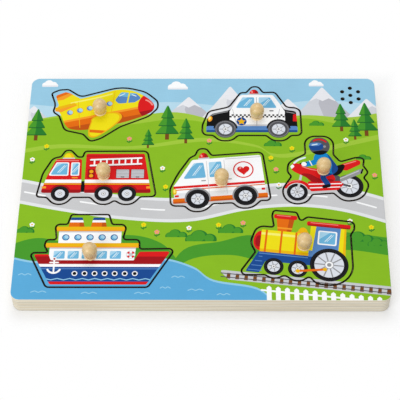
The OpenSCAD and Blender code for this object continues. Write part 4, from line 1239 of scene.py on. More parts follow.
@dataclass
class PrintedSheet:
    """The thin printed layer on one wooden part, cut exactly as the part is."""

    node: str
    body: str
    patches: list[Patch]
    knob: Optional[Spot] = None
    keep_edge: float = 0.0
    corner_r: float = 0.0
    edge_r: float = 0.0
    thickness: float = 0.08
    burn: float = 0.34
    ink_name: str = "ink"

    def build(self, material: bpy.types.Material) -> bpy.types.Object:
        """Cuts the picture into triangles along every outline, and gives them inks and a thickness.

        Args:
            material: the print's material.

        Returns:
            The sheet's object.
        """
        region = Region.of_node(self.node, self.burn, self.keep_edge)
        if self.knob:
            region.cut(disc(*self.knob))
        low, high = region.start.min(0) - 1, region.start.max(0) + 1
        near = [p for p in self.patches if (p.outline.max(0) > low).all() and (p.outline.min(0) < high).all()]
        loops = [p.outline for p in near] + [p.clip for p in near if p.clip is not None]
        at, _, faces, _, _, _ = delaunay_2d_cdt(*self.constraints(region, loops), [], 0, 1e-4, False)
        at, faces = np.array([v[:] for v in at]), np.array(faces)
        middles = at[faces].mean(1)
        kept = region.holds(middles)
        inks = self.inked(middles[kept], near, region)
        return self.close(at, faces[kept], inks, region.top, material)

    @staticmethod
    def inked(middles: Outline, near: list[Patch], region: Region) -> np.ndarray:
        """Finds each triangle's ink: that of the last patch that holds its middle, or of the burnt rim.

        Args:
            middles: the triangles' middles.
            near: the patches that may hold them.
            region: the part's top face.

        Returns:
            The inks, by their places in Ink.
        """
        inks, order = np.zeros(len(middles), int), list(Ink)
        for patch in near:
            hit = inside(middles, patch.outline)
            if patch.clip is not None:
                hit[hit] = inside(middles[hit], patch.clip)
            inks[hit] = order.index(patch.ink)
        inks[region.burnt(middles)] = order.index(Ink.BURNT)
        return inks

    def constraints(self, region: Region, loops: list[Outline]) -> tuple[list, list]:
        """Lists the points and edges that the triangles have to keep.

        Args:
            region: the part's top face.
            loops: closed outlines.

        Returns:
            The points and the pairs of their numbers.
        """
        points, pairs, count = [], [], 0
        for start, end in ((region.start, region.end), (region.inner_start, region.inner_end)):
            points += [start, end]
            pairs.append(np.stack([np.arange(len(start)), np.arange(len(start)) + len(start)], 1) + count)
            count += 2 * len(start)
        for loop in loops:
            points.append(loop)
            pairs.append(np.stack([np.arange(len(loop)), np.roll(np.arange(len(loop)), -1)], 1) + count)
            count += len(loop)
        everything = np.vstack(points)
        keys, same = np.unique(np.round(everything, 4), axis=0, return_inverse=True)
        edges = np.unique(np.sort(same.reshape(-1)[np.vstack(pairs)], axis=1), axis=0)
        edges = edges[edges[:, 0] != edges[:, 1]]
        return [Vector(p) for p in keys.tolist()], edges.tolist()

    def close(self, at: Outline, faces: np.ndarray, inks: np.ndarray, top: float,
              material: bpy.types.Material) -> bpy.types.Object:
        """Closes the sheet with an underside and a rim, and colours it.

        Args:
            at: the flat points.
            faces: the triangles.
            inks: each triangle's ink, by its place in Ink.
            top: height of the part's top face.
            material: the print's material.

        Returns:
            The sheet's object, riding on its body.
        """
        used, faces = np.unique(faces, return_inverse=True)
        faces, at = faces.reshape(-1, 3), at[used]
        a, b, c = at[faces[:, 0]], at[faces[:, 1]], at[faces[:, 2]]
        wrong = (b - a)[:, 0] * (c - a)[:, 1] - (b - a)[:, 1] * (c - a)[:, 0] < 0
        faces[wrong] = faces[wrong][:, ::-1]
        upper = np.column_stack([at, np.full(len(at), top + self.thickness)])
        lower = np.column_stack([at, np.full(len(at), top)])
        if self.edge_r:
            at, upper, lower, faces, inks = self.drape(at, upper, lower, faces, inks)
        count = len(at)
        edge, owner = border(faces, count)
        walls = np.vstack([
            np.stack([edge[:, 0] + count, edge[:, 1] + count, edge[:, 1]], 1),
            np.stack([edge[:, 0] + count, edge[:, 1], edge[:, 0]], 1)])
        tris = np.vstack([faces, faces[:, ::-1] + count, walls])
        face_inks = np.concatenate([inks, inks, inks[owner], inks[owner]])
        made = make_mesh(f"{self.node}_print", np.vstack([upper, lower]), tris)
        colours = np.stack([linear(ink.value) for ink in Ink])[face_inks]
        layer = made.data.color_attributes.new(name=self.ink_name, type="FLOAT_COLOR", domain="CORNER")
        layer.data.foreach_set("color", np.repeat(colours, 3, axis=0).astype(np.float32).ravel())
        self.add_map(made, np.vstack([at, at]), tris, len(faces))
        made.data.materials.append(material)
        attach(made, self.body)
        return made

    def drape(self, at: Outline, upper: np.ndarray, lower: np.ndarray, faces: np.ndarray,
              inks: np.ndarray) -> tuple[Outline, np.ndarray, np.ndarray, np.ndarray, np.ndarray]:
        """Carries the sheet over the part's rounded edge. A point on the outer line goes round a quarter
        circle under it: out by the sine of an angle, and down by one less its cosine.

        Args:
            at: the flat points.
            upper: the sheet's upper points.
            lower: the sheet's lower points.
            faces: the triangles.
            inks: each triangle's ink.

        Returns:
            The same five, with the rounded strip added.
        """
        reach = self.corner_r - self.edge_r
        core = at.max(0) - reach
        out = at - np.clip(at, -core, core)
        far = np.linalg.norm(out, axis=1)
        edge, owner = border(faces, len(at))
        outer = (np.abs(far[edge] - reach) < 0.06).all(1)
        edge, owner = edge[outer], owner[outer]
        ring, same = np.unique(edge, return_inverse=True)
        way = out[ring] / far[ring, None]
        start, end = ring[same.reshape(-1, 2)].T
        flats, uppers, lowers, strips = [at], [upper], [lower], [faces]
        low = lower[ring[0], 2] - self.edge_r
        for step, angle in enumerate(np.radians((21, 42, 63))):
            flats.append(at[ring] + way * self.edge_r * angle)
            for points, r in ((uppers, self.edge_r + self.thickness), (lowers, self.edge_r)):
                height = np.full(len(ring), low + r * math.cos(angle))
                points.append(np.column_stack([at[ring] + way * r * math.sin(angle), height]))
            next_start, next_end = (len(at) + step * len(ring) + same.reshape(-1, 2)).T
            strips += [np.stack([end, start, next_start], 1), np.stack([end, next_start, next_end], 1)]
            start, end = next_start, next_end
        return (np.vstack(flats), np.vstack(uppers), np.vstack(lowers), np.vstack(strips),
                np.concatenate([inks, np.tile(inks[owner], 6)]))

    @staticmethod
    def add_map(made: bpy.types.Object, at: Outline, tris: np.ndarray, tops: int) -> None:
        """Lays the sheet flat on its picture map: the top over the lower four fifths, the rest above it.

        Args:
            made: the sheet's object.
            at: its flat points.
            tris: its triangles.
            tops: how many of them are its top.
        """
        low, high = at.min(0), at.max(0)
        share = (at - low) / (high - low) * 0.996 + 0.002
        across = share[tris.ravel()]
        upper = np.repeat(np.arange(len(tris)) < tops, 3)
        across[:, 1] = np.where(upper, across[:, 1] * 0.8, 0.82 + across[:, 1] * 0.175)
        layer = made.data.uv_layers.new(name="OFBake")
        layer.data.foreach_set("uv", across.astype(np.float32).ravel())


class Tree:
    """A short way to write shader nodes."""

    def __init__(self, tree: bpy.types.NodeTree) -> None:
        """Starts on an empty node tree."""
        self.tree = tree
        tree.nodes.clear()

    def add(self, kind: str, settings: Optional[dict] = None,
            inputs: Optional[dict] = None) -> bpy.types.Node:
        """Adds a node.

        Args:
            kind: the node's type after "ShaderNode".
            settings: its properties.
            inputs: its inputs by name or number, each a socket or a value.

        Returns:
            The node.
        """
        made = self.tree.nodes.new("ShaderNode" + kind)
        for key, value in (settings or {}).items():
            setattr(made, key, value)
        for key, value in (inputs or {}).items():
            if isinstance(value, bpy.types.NodeSocket):
                self.tree.links.new(value, made.inputs[key])
            else:
                made.inputs[key].default_value = value
        return made

    def use(self, group: bpy.types.NodeTree, *values: Value) -> Sequence[Socket]:
        """Places a group with its values, and gives its outputs."""
        return self.add("Group", {"node_tree": group}, dict(enumerate(values))).outputs

    def end(self, node: bpy.types.Node, *sockets: Socket) -> bpy.types.NodeTree:
        """Feeds the inputs of the tree's last node in turn.

        Args:
            node: the last node.
            sockets: what feeds its inputs.

        Returns:
            The finished tree.
        """
        for k, socket in enumerate(sockets):
            self.tree.links.new(socket, node.inputs[k])
        return self.tree

    def math(self, operation: str, *values: Value) -> Socket:
        """The result of an operation on one to three values."""
        return self.add("Math", {"operation": operation}, dict(enumerate(values))).outputs[0]

    def mix(self, share: Value, one: Value, two: Value, blend: str = "MIX") -> Socket:
        """A mixed colour, from one where share is 0 to two where it is 1."""
        made = self.add("Mix", {"data_type": "RGBA", "blend_type": blend}, {0: share, 6: one, 7: two})
        return made.outputs[2]

    def tint(self, share: Value, colour: Value, rgb: Sequence[float]) -> Socket:
        """A colour that takes on an sRGB tint where share is above 0."""
        return self.mix(share, colour, linear(rgb))

    def span(self, value: Value, low: float, high: float, out_low: float = 0.0,
             out_high: float = 1.0) -> Socket:
        """A value spread from one range to another, and held in it."""
        return self.add("MapRange", {}, {0: value, 1: low, 2: high, 3: out_low, 4: out_high}).outputs[0]

    def noise(self, at: Socket, scale: Value, detail: float = 3.0, rough: float = 0.55) -> Socket:
        """Soft noise in three dimensions."""
        made = self.add("TexNoise", {}, {"Vector": at, "Scale": scale, "Detail": detail, "Roughness": rough})
        return made.outputs[0]

    def streaks(self, at: Socket, scale: Sequence[float], detail: float, rough: float = 0.5,
                shift: Sequence[float] = (0, 0, 0)) -> Socket:
        """Noise that is drawn out into streaks by its scale along each axis."""
        return self.noise(self.stretched(at, scale, shift), 1.0, detail, rough)

    def stretched(self, at: Socket, scale: Sequence[float], shift: Sequence[float] = (0, 0, 0)) -> Socket:
        """A place shifted, then stretched along its axes."""
        moved = self.add("VectorMath", {"operation": "ADD"}, {0: at, 1: shift}).outputs[0]
        return self.add("VectorMath", {"operation": "MULTIPLY"}, {0: moved, 1: scale}).outputs[0]

    def parts(self, vector: Socket) -> Sequence[Socket]:
        """The three numbers of a vector."""
        return self.add("SeparateXYZ", {}, {0: vector}).outputs


class Groups:
    """The shader node groups that several finishes share, each built once."""

    @staticmethod
    def start(name: str, inputs: dict[str, str],
              outputs: dict[str, str]) -> tuple[Tree, Sequence[Socket], bpy.types.Node]:
        """Makes an empty group with its named sockets.

        Args:
            name: the group's name.
            inputs: the kind of each input by its name.
            outputs: the kind of each output by its name.

        Returns:
            The group's tree, its inputs and its last node.
        """
        tree = Tree(bpy.data.node_groups.new(name, "ShaderNodeTree"))
        for way, sockets in (("INPUT", inputs), ("OUTPUT", outputs)):
            for key, kind in sockets.items():
                tree.tree.interface.new_socket(key, in_out=way, socket_type="NodeSocket" + kind)
        given = tree.tree.nodes.new("NodeGroupInput").outputs[:len(inputs)]
        return tree, given, tree.tree.nodes.new("NodeGroupOutput")

    @staticmethod
    @cache
    def grain() -> bpy.types.NodeTree:
        """Wood grain: fine pores in long streaks, and the broad figure of the growth rings, which is
        the sine of a place across the grain that noise bends.

        Returns:
            The group.
        """
        tree, (place,), result = Groups.start(
            "WoodGrain", {"Place": "Vector"}, {"Pores": "Float", "Figure": "Float"})
        fine = tree.streaks(place, (70, 1700, 1700), 4, 0.6)
        bend = tree.streaks(place, (6, 40, 40), 2)
        y = tree.parts(tree.stretched(place, (1, 560, 560)))[1]
        rings = tree.math("SINE", tree.math("ADD", y, tree.math("MULTIPLY", bend, 34.0)))
        soft = tree.streaks(place, (12, 130, 130), 3)
        figure = tree.math("ADD", tree.math("MULTIPLY", rings, 0.14), soft)
        return tree.end(result, tree.span(fine, 0.36, 0.66), tree.span(figure, 0.25, 0.8))

    @staticmethod
    @cache
    def plies() -> bpy.types.NodeTree:
        """The edge of a board of three plies: its cross ply in the middle third of its height, the glue
        lines on both sides of that, and the seams at its faces. The plies swell and thin along it.

        Returns:
            The group.
        """
        tree, (place, base, thickness), result = Groups.start(
            "Plies", {"Place": "Vector", "Base": "Float", "Thickness": "Float"},
            {"Cross": "Float", "Glue": "Float", "Seam": "Float"})
        wave = tree.streaks(place, (26, 26, 90), 2)
        above = tree.math("SUBTRACT", tree.parts(place)[2], base)
        share = tree.math("DIVIDE", above, thickness)
        ramp = tree.math("ABSOLUTE", tree.math("MULTIPLY_ADD", share, 2.0, -1.0))
        uneven = tree.math("ADD", ramp, tree.span(wave, 0.3, 0.7, -0.1, 0.1))
        away = tree.math("ABSOLUTE", tree.math("SUBTRACT", uneven, 0.34))
        faint = tree.streaks(place, (70, 70, 300), 2, shift=(0.3, 0.1, 0))
        glue = tree.math("MULTIPLY", tree.span(away, 0.0, 0.09, 1.0, 0.0),
                         tree.span(faint, 0.35, 0.65, 0.2, 1.0))
        seam = tree.math("MULTIPLY", tree.span(ramp, 0.74, 0.92), tree.span(wave, 0.3, 0.7, 0.5, 1.0))
        return tree.end(result, tree.span(uneven, 0.28, 0.4, 1.0, 0.0), glue, seam)

    @staticmethod
    @cache
    def speckle() -> bpy.types.NodeTree:
        """Fine and broad unevenness for woods, metals, plastics and print, each round one half.

        Returns:
            The group.
        """
        tree, (place, fineness), result = Groups.start(
            "Speckle", {"Place": "Vector", "Fineness": "Float"}, {"Fine": "Float", "Broad": "Float"})
        fine = tree.add("TexNoise", {}, {"Vector": place, "Scale": fineness, "Detail": 2.0})
        return tree.end(result, fine.outputs[0], tree.noise(place, 60.0, 3, 0.6))


@dataclass(frozen=True)
class Surface:
    """What feeds a shader's inputs, and the height that roughens its surface, depth millimetres at most."""

    inputs: dict[str, Value]
    height: Socket
    strength: float
    depth: float


class Finish:
    """A material. Each finish says what its surface is like, and is built in the same way."""

    name: str = ""

    def surface(self, tree: Tree, place: Socket) -> Surface:
        """Works the surface out from its own places."""
        raise NotImplementedError

    def build(self) -> bpy.types.Material:
        """Builds the material: a shader that the surface feeds.

        Returns:
            The material.
        """
        material = bpy.data.materials.new(self.name)
        material.use_nodes = True
        tree = Tree(material.node_tree)
        look = self.surface(tree, tree.add("TexCoord").outputs["Object"])
        bump = tree.add("Bump", {}, {
            "Strength": look.strength, "Distance": look.depth * MM, "Height": look.height})
        shader = tree.add("BsdfPrincipled", {}, {**look.inputs, "Normal": bump.outputs[0]})
        tree.end(tree.add("OutputMaterial"), shader.outputs[0])
        return material


@dataclass(frozen=True)
class PrintFinish(Finish):
    """Ink under clear lacquer on thin veneer, whose grain shows through a little."""

    name: str = "printed_picture"
    roughness: float = 0.5
    gloss: float = 0.05
    unevenness: float = 0.03

    def surface(self, tree: Tree, place: Socket) -> Surface:
        """The sheet's own inks, made a little uneven.

        Args:
            tree: the material's tree.
            place: the surface's own places.

        Returns:
            The surface.
        """
        ink = tree.add("Attribute", {"attribute_name": PrintedSheet.ink_name}).outputs["Color"]
        fine, broad = tree.use(Groups.speckle(), place, 900.0)
        pores, figure = tree.use(Groups.grain(), place)
        tone = tree.math("ADD", tree.span(broad, 0.3, 0.7, 1 - self.unevenness, 1 + self.unevenness / 3),
                         tree.span(pores, 0, 1, -self.unevenness / 2, self.unevenness / 2))
        grey = tree.add("CombineColor", {}, {0: tone, 1: tone, 2: tone}).outputs[0]
        return Surface({
            "Base Color": tree.mix(1.0, ink, grey, "MULTIPLY"),
            "Roughness": tree.span(fine, 0.3, 0.7, self.roughness - 0.05, self.roughness + 0.07),
            "Specular IOR Level": self.gloss}, tree.math("ADD", pores, figure), 0.3, 0.02)


@dataclass(frozen=True)
class Plywood(Finish):
    """Birch plywood: veneer on its faces, plies on its edges, and burnt walls where it is cut out."""

    name: str = "plywood"
    face: Rgb = (222, 201, 160)
    pale: Rgb = (246, 240, 222)
    dark: Rgb = (224, 211, 184)
    glue_tint: Rgb = (150, 122, 84)
    seam_tint: Rgb = (146, 128, 98)
    # painted contact shade: the tint that darkens the bottom edge where the board meets the floor
    bottom_shade_tint: Rgb = (112, 104, 94)
    soot_tint: Rgb = (42, 28, 18)
    pale_soot: Rgb = (84, 57, 36)
    cross_soot: Rgb = (116, 82, 52)
    gloss: float = 0.2
    base: float = 13.0
    thickness: float = 5.0
    burnt: float = 0.0
    burnt_half: Point = (0.0, 0.0)
    # how strongly the bottom edge is darkened with painted contact shade, or 0 for none
    painted_bottom_shade: float = 0.0

    def surface(self, tree: Tree, place: Socket) -> Surface:
        """Veneer where the surface lies flat, plies where it stands upright, then painted shade along the
        bottom edge, and soot.

        Args:
            tree: the material's tree.
            place: the surface's own places.

        Returns:
            The surface.
        """
        normal = tree.add("TexCoord").outputs["Normal"]
        level = tree.math("ABSOLUTE", tree.parts(normal)[2])
        flat = tree.span(level, 0.5, 0.9)
        pores, figure = tree.use(Groups.grain(), place)
        plies = tree.use(Groups.plies(), place, self.base * MM, self.thickness * MM)
        fine = tree.use(Groups.speckle(), place, 1400.0)[0]
        veneer = tree.mix(figure, linear(self.face), linear([0.9 * c for c in self.face]))
        veneer = tree.tint(tree.math("MULTIPLY", pores, 0.3), veneer, [0.76 * c for c in self.face])
        colour = tree.mix(flat, self.edge(tree, place, fine, plies), veneer)
        # Painted shade: the rounded bottom edge darkens towards the floor, standing in for the contact shadow
        # there.
        if self.painted_bottom_shade:
            low = tree.span(tree.parts(place)[2], 0.3 * MM, 1.6 * MM, self.painted_bottom_shade, 0.0)
            rim = tree.math("MULTIPLY", low, tree.span(level, 0.9, 0.99, 1.0, 0.0))
            colour = tree.tint(rim, colour, self.bottom_shade_tint)
        if self.burnt:
            wall = tree.math("MULTIPLY", self.wall(tree, place, flat), self.burnt)
            colour = tree.mix(wall, colour, self.soot(tree, fine, plies[0]))
        height = tree.math("ADD", pores, tree.math("MULTIPLY", plies[1], -0.6))
        return Surface({"Base Color": colour, "Roughness": tree.span(fine, 0.3, 0.7, 0.5, 0.66),
                        "Specular IOR Level": self.gloss}, height, 0.5, 0.05)

    def edge(self, tree: Tree, place: Socket, fine: Socket, plies: Sequence[Socket]) -> Socket:
        """The edge's colour: two tones of ply, cut fibres, slow stains, glue lines and seams.

        Args:
            tree: the material's tree.
            place: the surface's own places.
            fine: fine unevenness.
            plies: the masks of the cross ply, the glue and the seams.

        Returns:
            The colour.
        """
        slow = tree.streaks(place, (9, 9, 120), 2, shift=(0.0, 0.0, 0.37))
        edge = tree.mix(plies[0], linear(self.pale), linear(self.dark))
        edge = tree.tint(tree.math("MULTIPLY", fine, 0.2), edge, [0.8 * c for c in self.dark])
        edge = tree.tint(tree.span(slow, 0.4, 0.65, 0.0, 0.4), edge, [0.92 * c for c in self.dark])
        edge = tree.tint(tree.math("MULTIPLY", plies[1], 0.4), edge, self.glue_tint)
        return tree.tint(tree.math("MULTIPLY", plies[2], 0.75), edge, self.seam_tint)

    def wall(self, tree: Tree, place: Socket, flat: Socket) -> Socket:
        """Where walls are burnt: where the surface stands upright, inside burnt_half if that is given.

        Args:
            tree: the material's tree.
            place: the surface's own places.
            flat: where the surface lies flat.

        Returns:
            The mask.
        """
        wall = tree.math("SUBTRACT", 1.0, flat)
        if self.burnt_half[0]:
            for axis, half in zip(tree.parts(place), self.burnt_half):
                inner = tree.math("LESS_THAN", tree.math("ABSOLUTE", axis), half * MM)
                wall = tree.math("MULTIPLY", wall, inner)
        return wall

    def soot(self, tree: Tree, fine: Socket, cross: Socket) -> Socket:
        """The colour of a burnt wall, whose cross ply chars less."""
        soot = tree.mix(tree.span(fine, 0.3, 0.7), linear(self.soot_tint), linear(self.pale_soot))
        return tree.tint(tree.math("MULTIPLY", cross, 0.35), soot, self.cross_soot)


@dataclass(frozen=True)
class TurnedWood(Finish):
    """Lacquered beech, turned on a lathe, its grain along the knob's axis, its groove a little burnt and
    darkened with painted shade, its foot's rim paler with a painted highlight.
    """

    name: str = "turned_wood"
    middle: Point = (0.0, 0.0)
    groove_z: float = 0.0
    pale: Rgb = (238, 209, 153)
    dark: Rgb = (214, 175, 113)
    ray: Rgb = (186, 142, 94)
    # the groove's tint: partly a burnt line, partly painted shade in the crease
    burnt: Rgb = (138, 96, 54)
    # painted highlight on the foot's rim under the groove
    foot_highlight: Rgb = (252, 230, 188)
    lacquer: float = 0.3

    def surface(self, tree: Tree, place: Socket) -> Surface:
        """Slabs, streaks and rays of the wood, then a painted highlight that makes the foot paler under the
        groove, and the groove darkened, partly as a burnt line and partly as painted shade.

        Args:
            tree: the material's tree.
            place: the surface's own places.

        Returns:
            The surface.
        """
        x, y = (-value * MM for value in self.middle)
        moved = tree.add("Mapping", {"vector_type": "POINT"}, {0: place, "Location": (x, y, 0.0)})
        centred = moved.outputs[0]
        fine = tree.use(Groups.speckle(), centred, 1500.0)[0]
        streaks = tree.streaks(centred, (1300, 1300, 70), 3, 0.6)
        slab = tree.streaks(centred, (180, 420, 24), 2)
        rays = tree.streaks(centred, (3200, 1100, 420), 2)
        colour = tree.mix(tree.span(slab, 0.3, 0.7, 0.1, 0.8), linear(self.pale), linear(self.dark))
        colour = tree.tint(tree.span(streaks, 0.45, 0.75, 0, 0.35), colour, [0.84 * c for c in self.dark])
        colour = tree.tint(tree.span(rays, 0.64, 0.74, 0, 0.22), colour, self.ray)
        # Painted highlight: the foot's rim under the groove is made paler, as if it caught the light.
        above = tree.math("SUBTRACT", tree.parts(place)[2], self.groove_z * MM)
        colour = tree.tint(tree.span(above, -1.1 * MM, -0.5 * MM, 0.5, 0.0), colour, self.foot_highlight)
        # The groove is darkened: partly a burnt line, partly painted shade in the crease between neck and
        # foot.
        beside = tree.math("ABSOLUTE", above)
        colour = tree.tint(tree.span(beside, 0.1 * MM, 0.5 * MM, 0.7, 0.0), colour, self.burnt)
        return Surface({
            "Base Color": colour, "Roughness": tree.span(streaks, 0.3, 0.7, 0.3, 0.44),
            "Coat Weight": self.lacquer, "Coat Roughness": 0.18},
            tree.math("ADD", streaks, tree.math("MULTIPLY", fine, 0.3)), 0.3, 0.03)


@dataclass(frozen=True)
class Metal(Finish):
    """A plated or drawn metal with fine unevenness."""

    name: str = "zinc_plate"
    colour: Rgb = (196, 196, 192)
    stain: Rgb = (164, 160, 150)
    roughness: float = 0.3

    def surface(self, tree: Tree, place: Socket) -> Surface:
        """Two tones in broad stains, and a finely uneven shine.

        Args:
            tree: the material's tree.
            place: the surface's own places.

        Returns:
            The surface.
        """
        fine, broad = tree.use(Groups.speckle(), place, 2500.0)
        return Surface({
            "Base Color": tree.mix(tree.span(broad, 0.35, 0.7), linear(self.colour), linear(self.stain)),
            "Roughness": tree.span(fine, 0.3, 0.7, self.roughness - 0.08, self.roughness + 0.12),
            "Metallic": 1.0}, fine, 0.25, 0.01)


@dataclass(frozen=True)
class Moulded(Finish):
    """A moulded, coated or foamed material: one colour with its own surface grain."""

    name: str = "moulded_plastic"
    colour: Rgb = (46, 47, 50)
    other: Rgb = (58, 59, 62)
    roughness: float = 0.45
    fineness: float = 1800.0
    grain: float = 0.03
    strength: float = 0.4

    def surface(self, tree: Tree, place: Socket) -> Surface:
        """Two near tones, blended by fine and broad unevenness.

        Args:
            tree: the material's tree.
            place: the surface's own places.

        Returns:
            The surface.
        """
        fine, broad = tree.use(Groups.speckle(), place, self.fineness)
        blend = tree.math("ADD", tree.math("MULTIPLY", fine, 0.6), tree.math("MULTIPLY", broad, 0.4))
        return Surface({
            "Base Color": tree.mix(tree.span(blend, 0.35, 0.65), linear(self.colour), linear(self.other)),
            "Roughness": tree.span(fine, 0.3, 0.7, self.roughness - 0.06, self.roughness + 0.08)},
            fine, self.strength, self.grain)


@dataclass(frozen=True)
class CircuitFinish(Finish):
    """Green solder resist over copper tracks."""

    name: str = "circuit_resist"
    resist: Rgb = (22, 96, 52)
    track: Rgb = (40, 126, 70)

    def surface(self, tree: Tree, place: Socket) -> Surface:
        """Tracks, as the joints of a pattern of long bricks, under the resist.

        Args:
            tree: the material's tree.
            place: the surface's own places.

        Returns:
            The surface.
        """
        fine, broad = tree.use(Groups.speckle(), place, 1500.0)
        tracks = tree.add("TexBrick", {"offset": 0.37}, {
            "Vector": place, "Color1": (0, 0, 0, 1), "Color2": (0, 0, 0, 1), "Mortar": (1, 1, 1, 1),
            "Scale": 1.0, "Mortar Size": 0.00035, "Brick Width": 0.0052, "Row Height": 0.0021}).outputs[0]
        line = tree.add("SeparateColor", {}, {0: tracks}).outputs[0]
        base = tree.tint(tree.span(broad, 0.3, 0.7, 0, 0.5), linear(self.resist),
                         [0.8 * c for c in self.resist])
        return Surface({"Base Color": tree.tint(line, base, self.track),
                        "Roughness": tree.span(fine, 0.3, 0.7, 0.26, 0.36)}, line, 0.4, 0.03)


@dataclass(frozen=True)
class CellFinish(Finish):
    """A cell: a printed jacket in two plain colours between its steel ends."""

    name: str = "cell_jacket"
    start_y: float = 0.0
    end_y: float = 0.0
    split_y: float = 0.0
    one: Rgb = (52, 96, 84)
    two: Rgb = (222, 223, 218)
    steel: Rgb = (200, 200, 198)
    stain: Rgb = (170, 168, 162)

    def surface(self, tree: Tree, place: Socket) -> Surface:
        """The jacket from start_y to end_y, its colours parted at split_y, and bare steel past it.

        Args:
            tree: the material's tree.
            place: the surface's own places.

        Returns:
            The surface.
        """
        y = tree.parts(place)[1]
        fine, broad = tree.use(Groups.speckle(), place, 2200.0)
        upper = tree.math("GREATER_THAN", y, self.split_y * MM)
        jacket = tree.mix(upper, linear(self.one), linear(self.two))
        past_start = tree.math("GREATER_THAN", y, self.start_y * MM)
        before_end = tree.math("LESS_THAN", y, self.end_y * MM)
        on = tree.math("MULTIPLY", past_start, before_end)
        steel = tree.mix(broad, linear(self.steel), linear(self.stain))
        return Surface({
            "Base Color": tree.mix(on, steel, jacket), "Metallic": tree.math("SUBTRACT", 1.0, on),
            "Roughness": tree.span(fine, 0.3, 0.7, 0.24, 0.36)},
            tree.math("ADD", on, tree.math("MULTIPLY", fine, 0.1)), 0.5, 0.06)


def knob_middle(vehicle: str) -> Point:
    """Where a vehicle's knob stands, as its solid does."""
    low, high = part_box(f"{vehicle}_knob")
    return (low.x + high.x) / 2 / MM, (low.y + high.y) / 2 / MM


def tube(rings: int, around: int) -> np.ndarray:
    """Joins rings of points, each to the next, with two triangles to four points.

    Args:
        rings: how many rings there are.
        around: points to a ring.

    Returns:
        The triangles.
    """
    k, row = np.arange(around), np.arange(rings - 1)[:, None] * around
    after = (k + 1) % around
    quads = np.stack([row + k, row + after, row + after + around, row + k + around], 2).reshape(-1, 4)
    return np.vstack([quads[:, [0, 1, 2]], quads[:, [0, 2, 3]]])


@dataclass
class Knob:
    """A turned knob, finer than its solid: a foot with a rim, a grooved neck and an egg-shaped head."""

    vehicle: str
    foot_r: float = 5.25
    neck_r: float = 4.8
    head_r: float = 6.15
    height: float = 15.0
    rim: float = 1.0
    chamfer: float = 0.25
    flare: float = 1.4
    crown: float = 6.6
    groove: float = 0.4
    around: int = 72
    middle: Point = (0.0, 0.0)
    base: float = 0.0

    def place(self) -> None:
        """Takes the knob's place, width and height from its solid."""
        self.middle = knob_middle(self.vehicle)
        low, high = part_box(f"{self.vehicle}_knob")
        self.base, self.height = low.z / MM, (high.z - low.z) / MM
        self.head_r = (high.x - low.x) / 2 / MM

    def profile(self) -> Outline:
        """The knob's half outline: a rim with a small chamfer, a flare that eases into the neck as a
        square, a notch, and two quarter ellipses of one width, the upper one rounder.

        Returns:
            Its points from the foot's middle to the crown, as radius and height.
        """
        foot = np.array([[0, 0], [self.foot_r - self.chamfer, 0], [self.foot_r, self.chamfer],
                         [self.foot_r, self.rim - self.chamfer]])
        s = np.linspace(0.02, 0.84, 12)
        wide = self.neck_r + (self.foot_r - self.neck_r) * (1 - s) ** 2
        flare = np.stack([wide, self.rim + self.flare * s], 1)
        notch = [[self.neck_r - self.groove, self.rim + self.flare]]
        low = -math.acos(self.neck_r / self.head_r)
        widest = self.height - self.crown
        belly = (widest - self.rim - self.flare) / -math.sin(low)
        a = np.linspace(low + 0.04, math.pi / 2, 42)
        rise = np.where(a < 0, belly, self.crown) * np.sin(a)
        line = np.vstack([foot, flare, notch, np.stack([self.head_r * np.cos(a), widest + rise], 1)])
        line[-1, 0] = 0
        return line

    def build(self) -> bpy.types.Object:
        """Carries the profile round the axis: each ring is its radius times the cosine and sine of a turn.

        Returns:
            The knob's object.
        """
        self.place()
        (x, y), n, inner = self.middle, self.around, self.profile()[1:-1]
        t = np.arange(n) * 2 * np.pi / n
        r, z = inner[:, 0, None], np.broadcast_to(self.base + inner[:, 1, None], (len(inner), n))
        rings = np.stack([x + r * np.cos(t), y + r * np.sin(t), z], 2).reshape(-1, 3)
        at = np.vstack([rings, [[x, y, self.base], [x, y, self.base + self.height]]])
        k, last = np.arange(n), (len(inner) - 1) * n
        after = (k + 1) % n
        foot = np.stack([after, k, np.full(n, len(at) - 2)], 1)
        crown = np.stack([last + k, last + after, np.full(n, len(at) - 1)], 1)
        tris = np.vstack([tube(len(inner), n), foot, crown])
        made = make_mesh(f"{self.vehicle}_turned_knob", at, tris, smooth=True)
        groove_z = self.base + self.rim + self.flare
        made.data.materials.append(TurnedWood(f"{self.vehicle}_knob_beech", self.middle, groove_z).build())
        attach(made, self.vehicle)
        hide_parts(f"{self.vehicle}_knob")
        return made


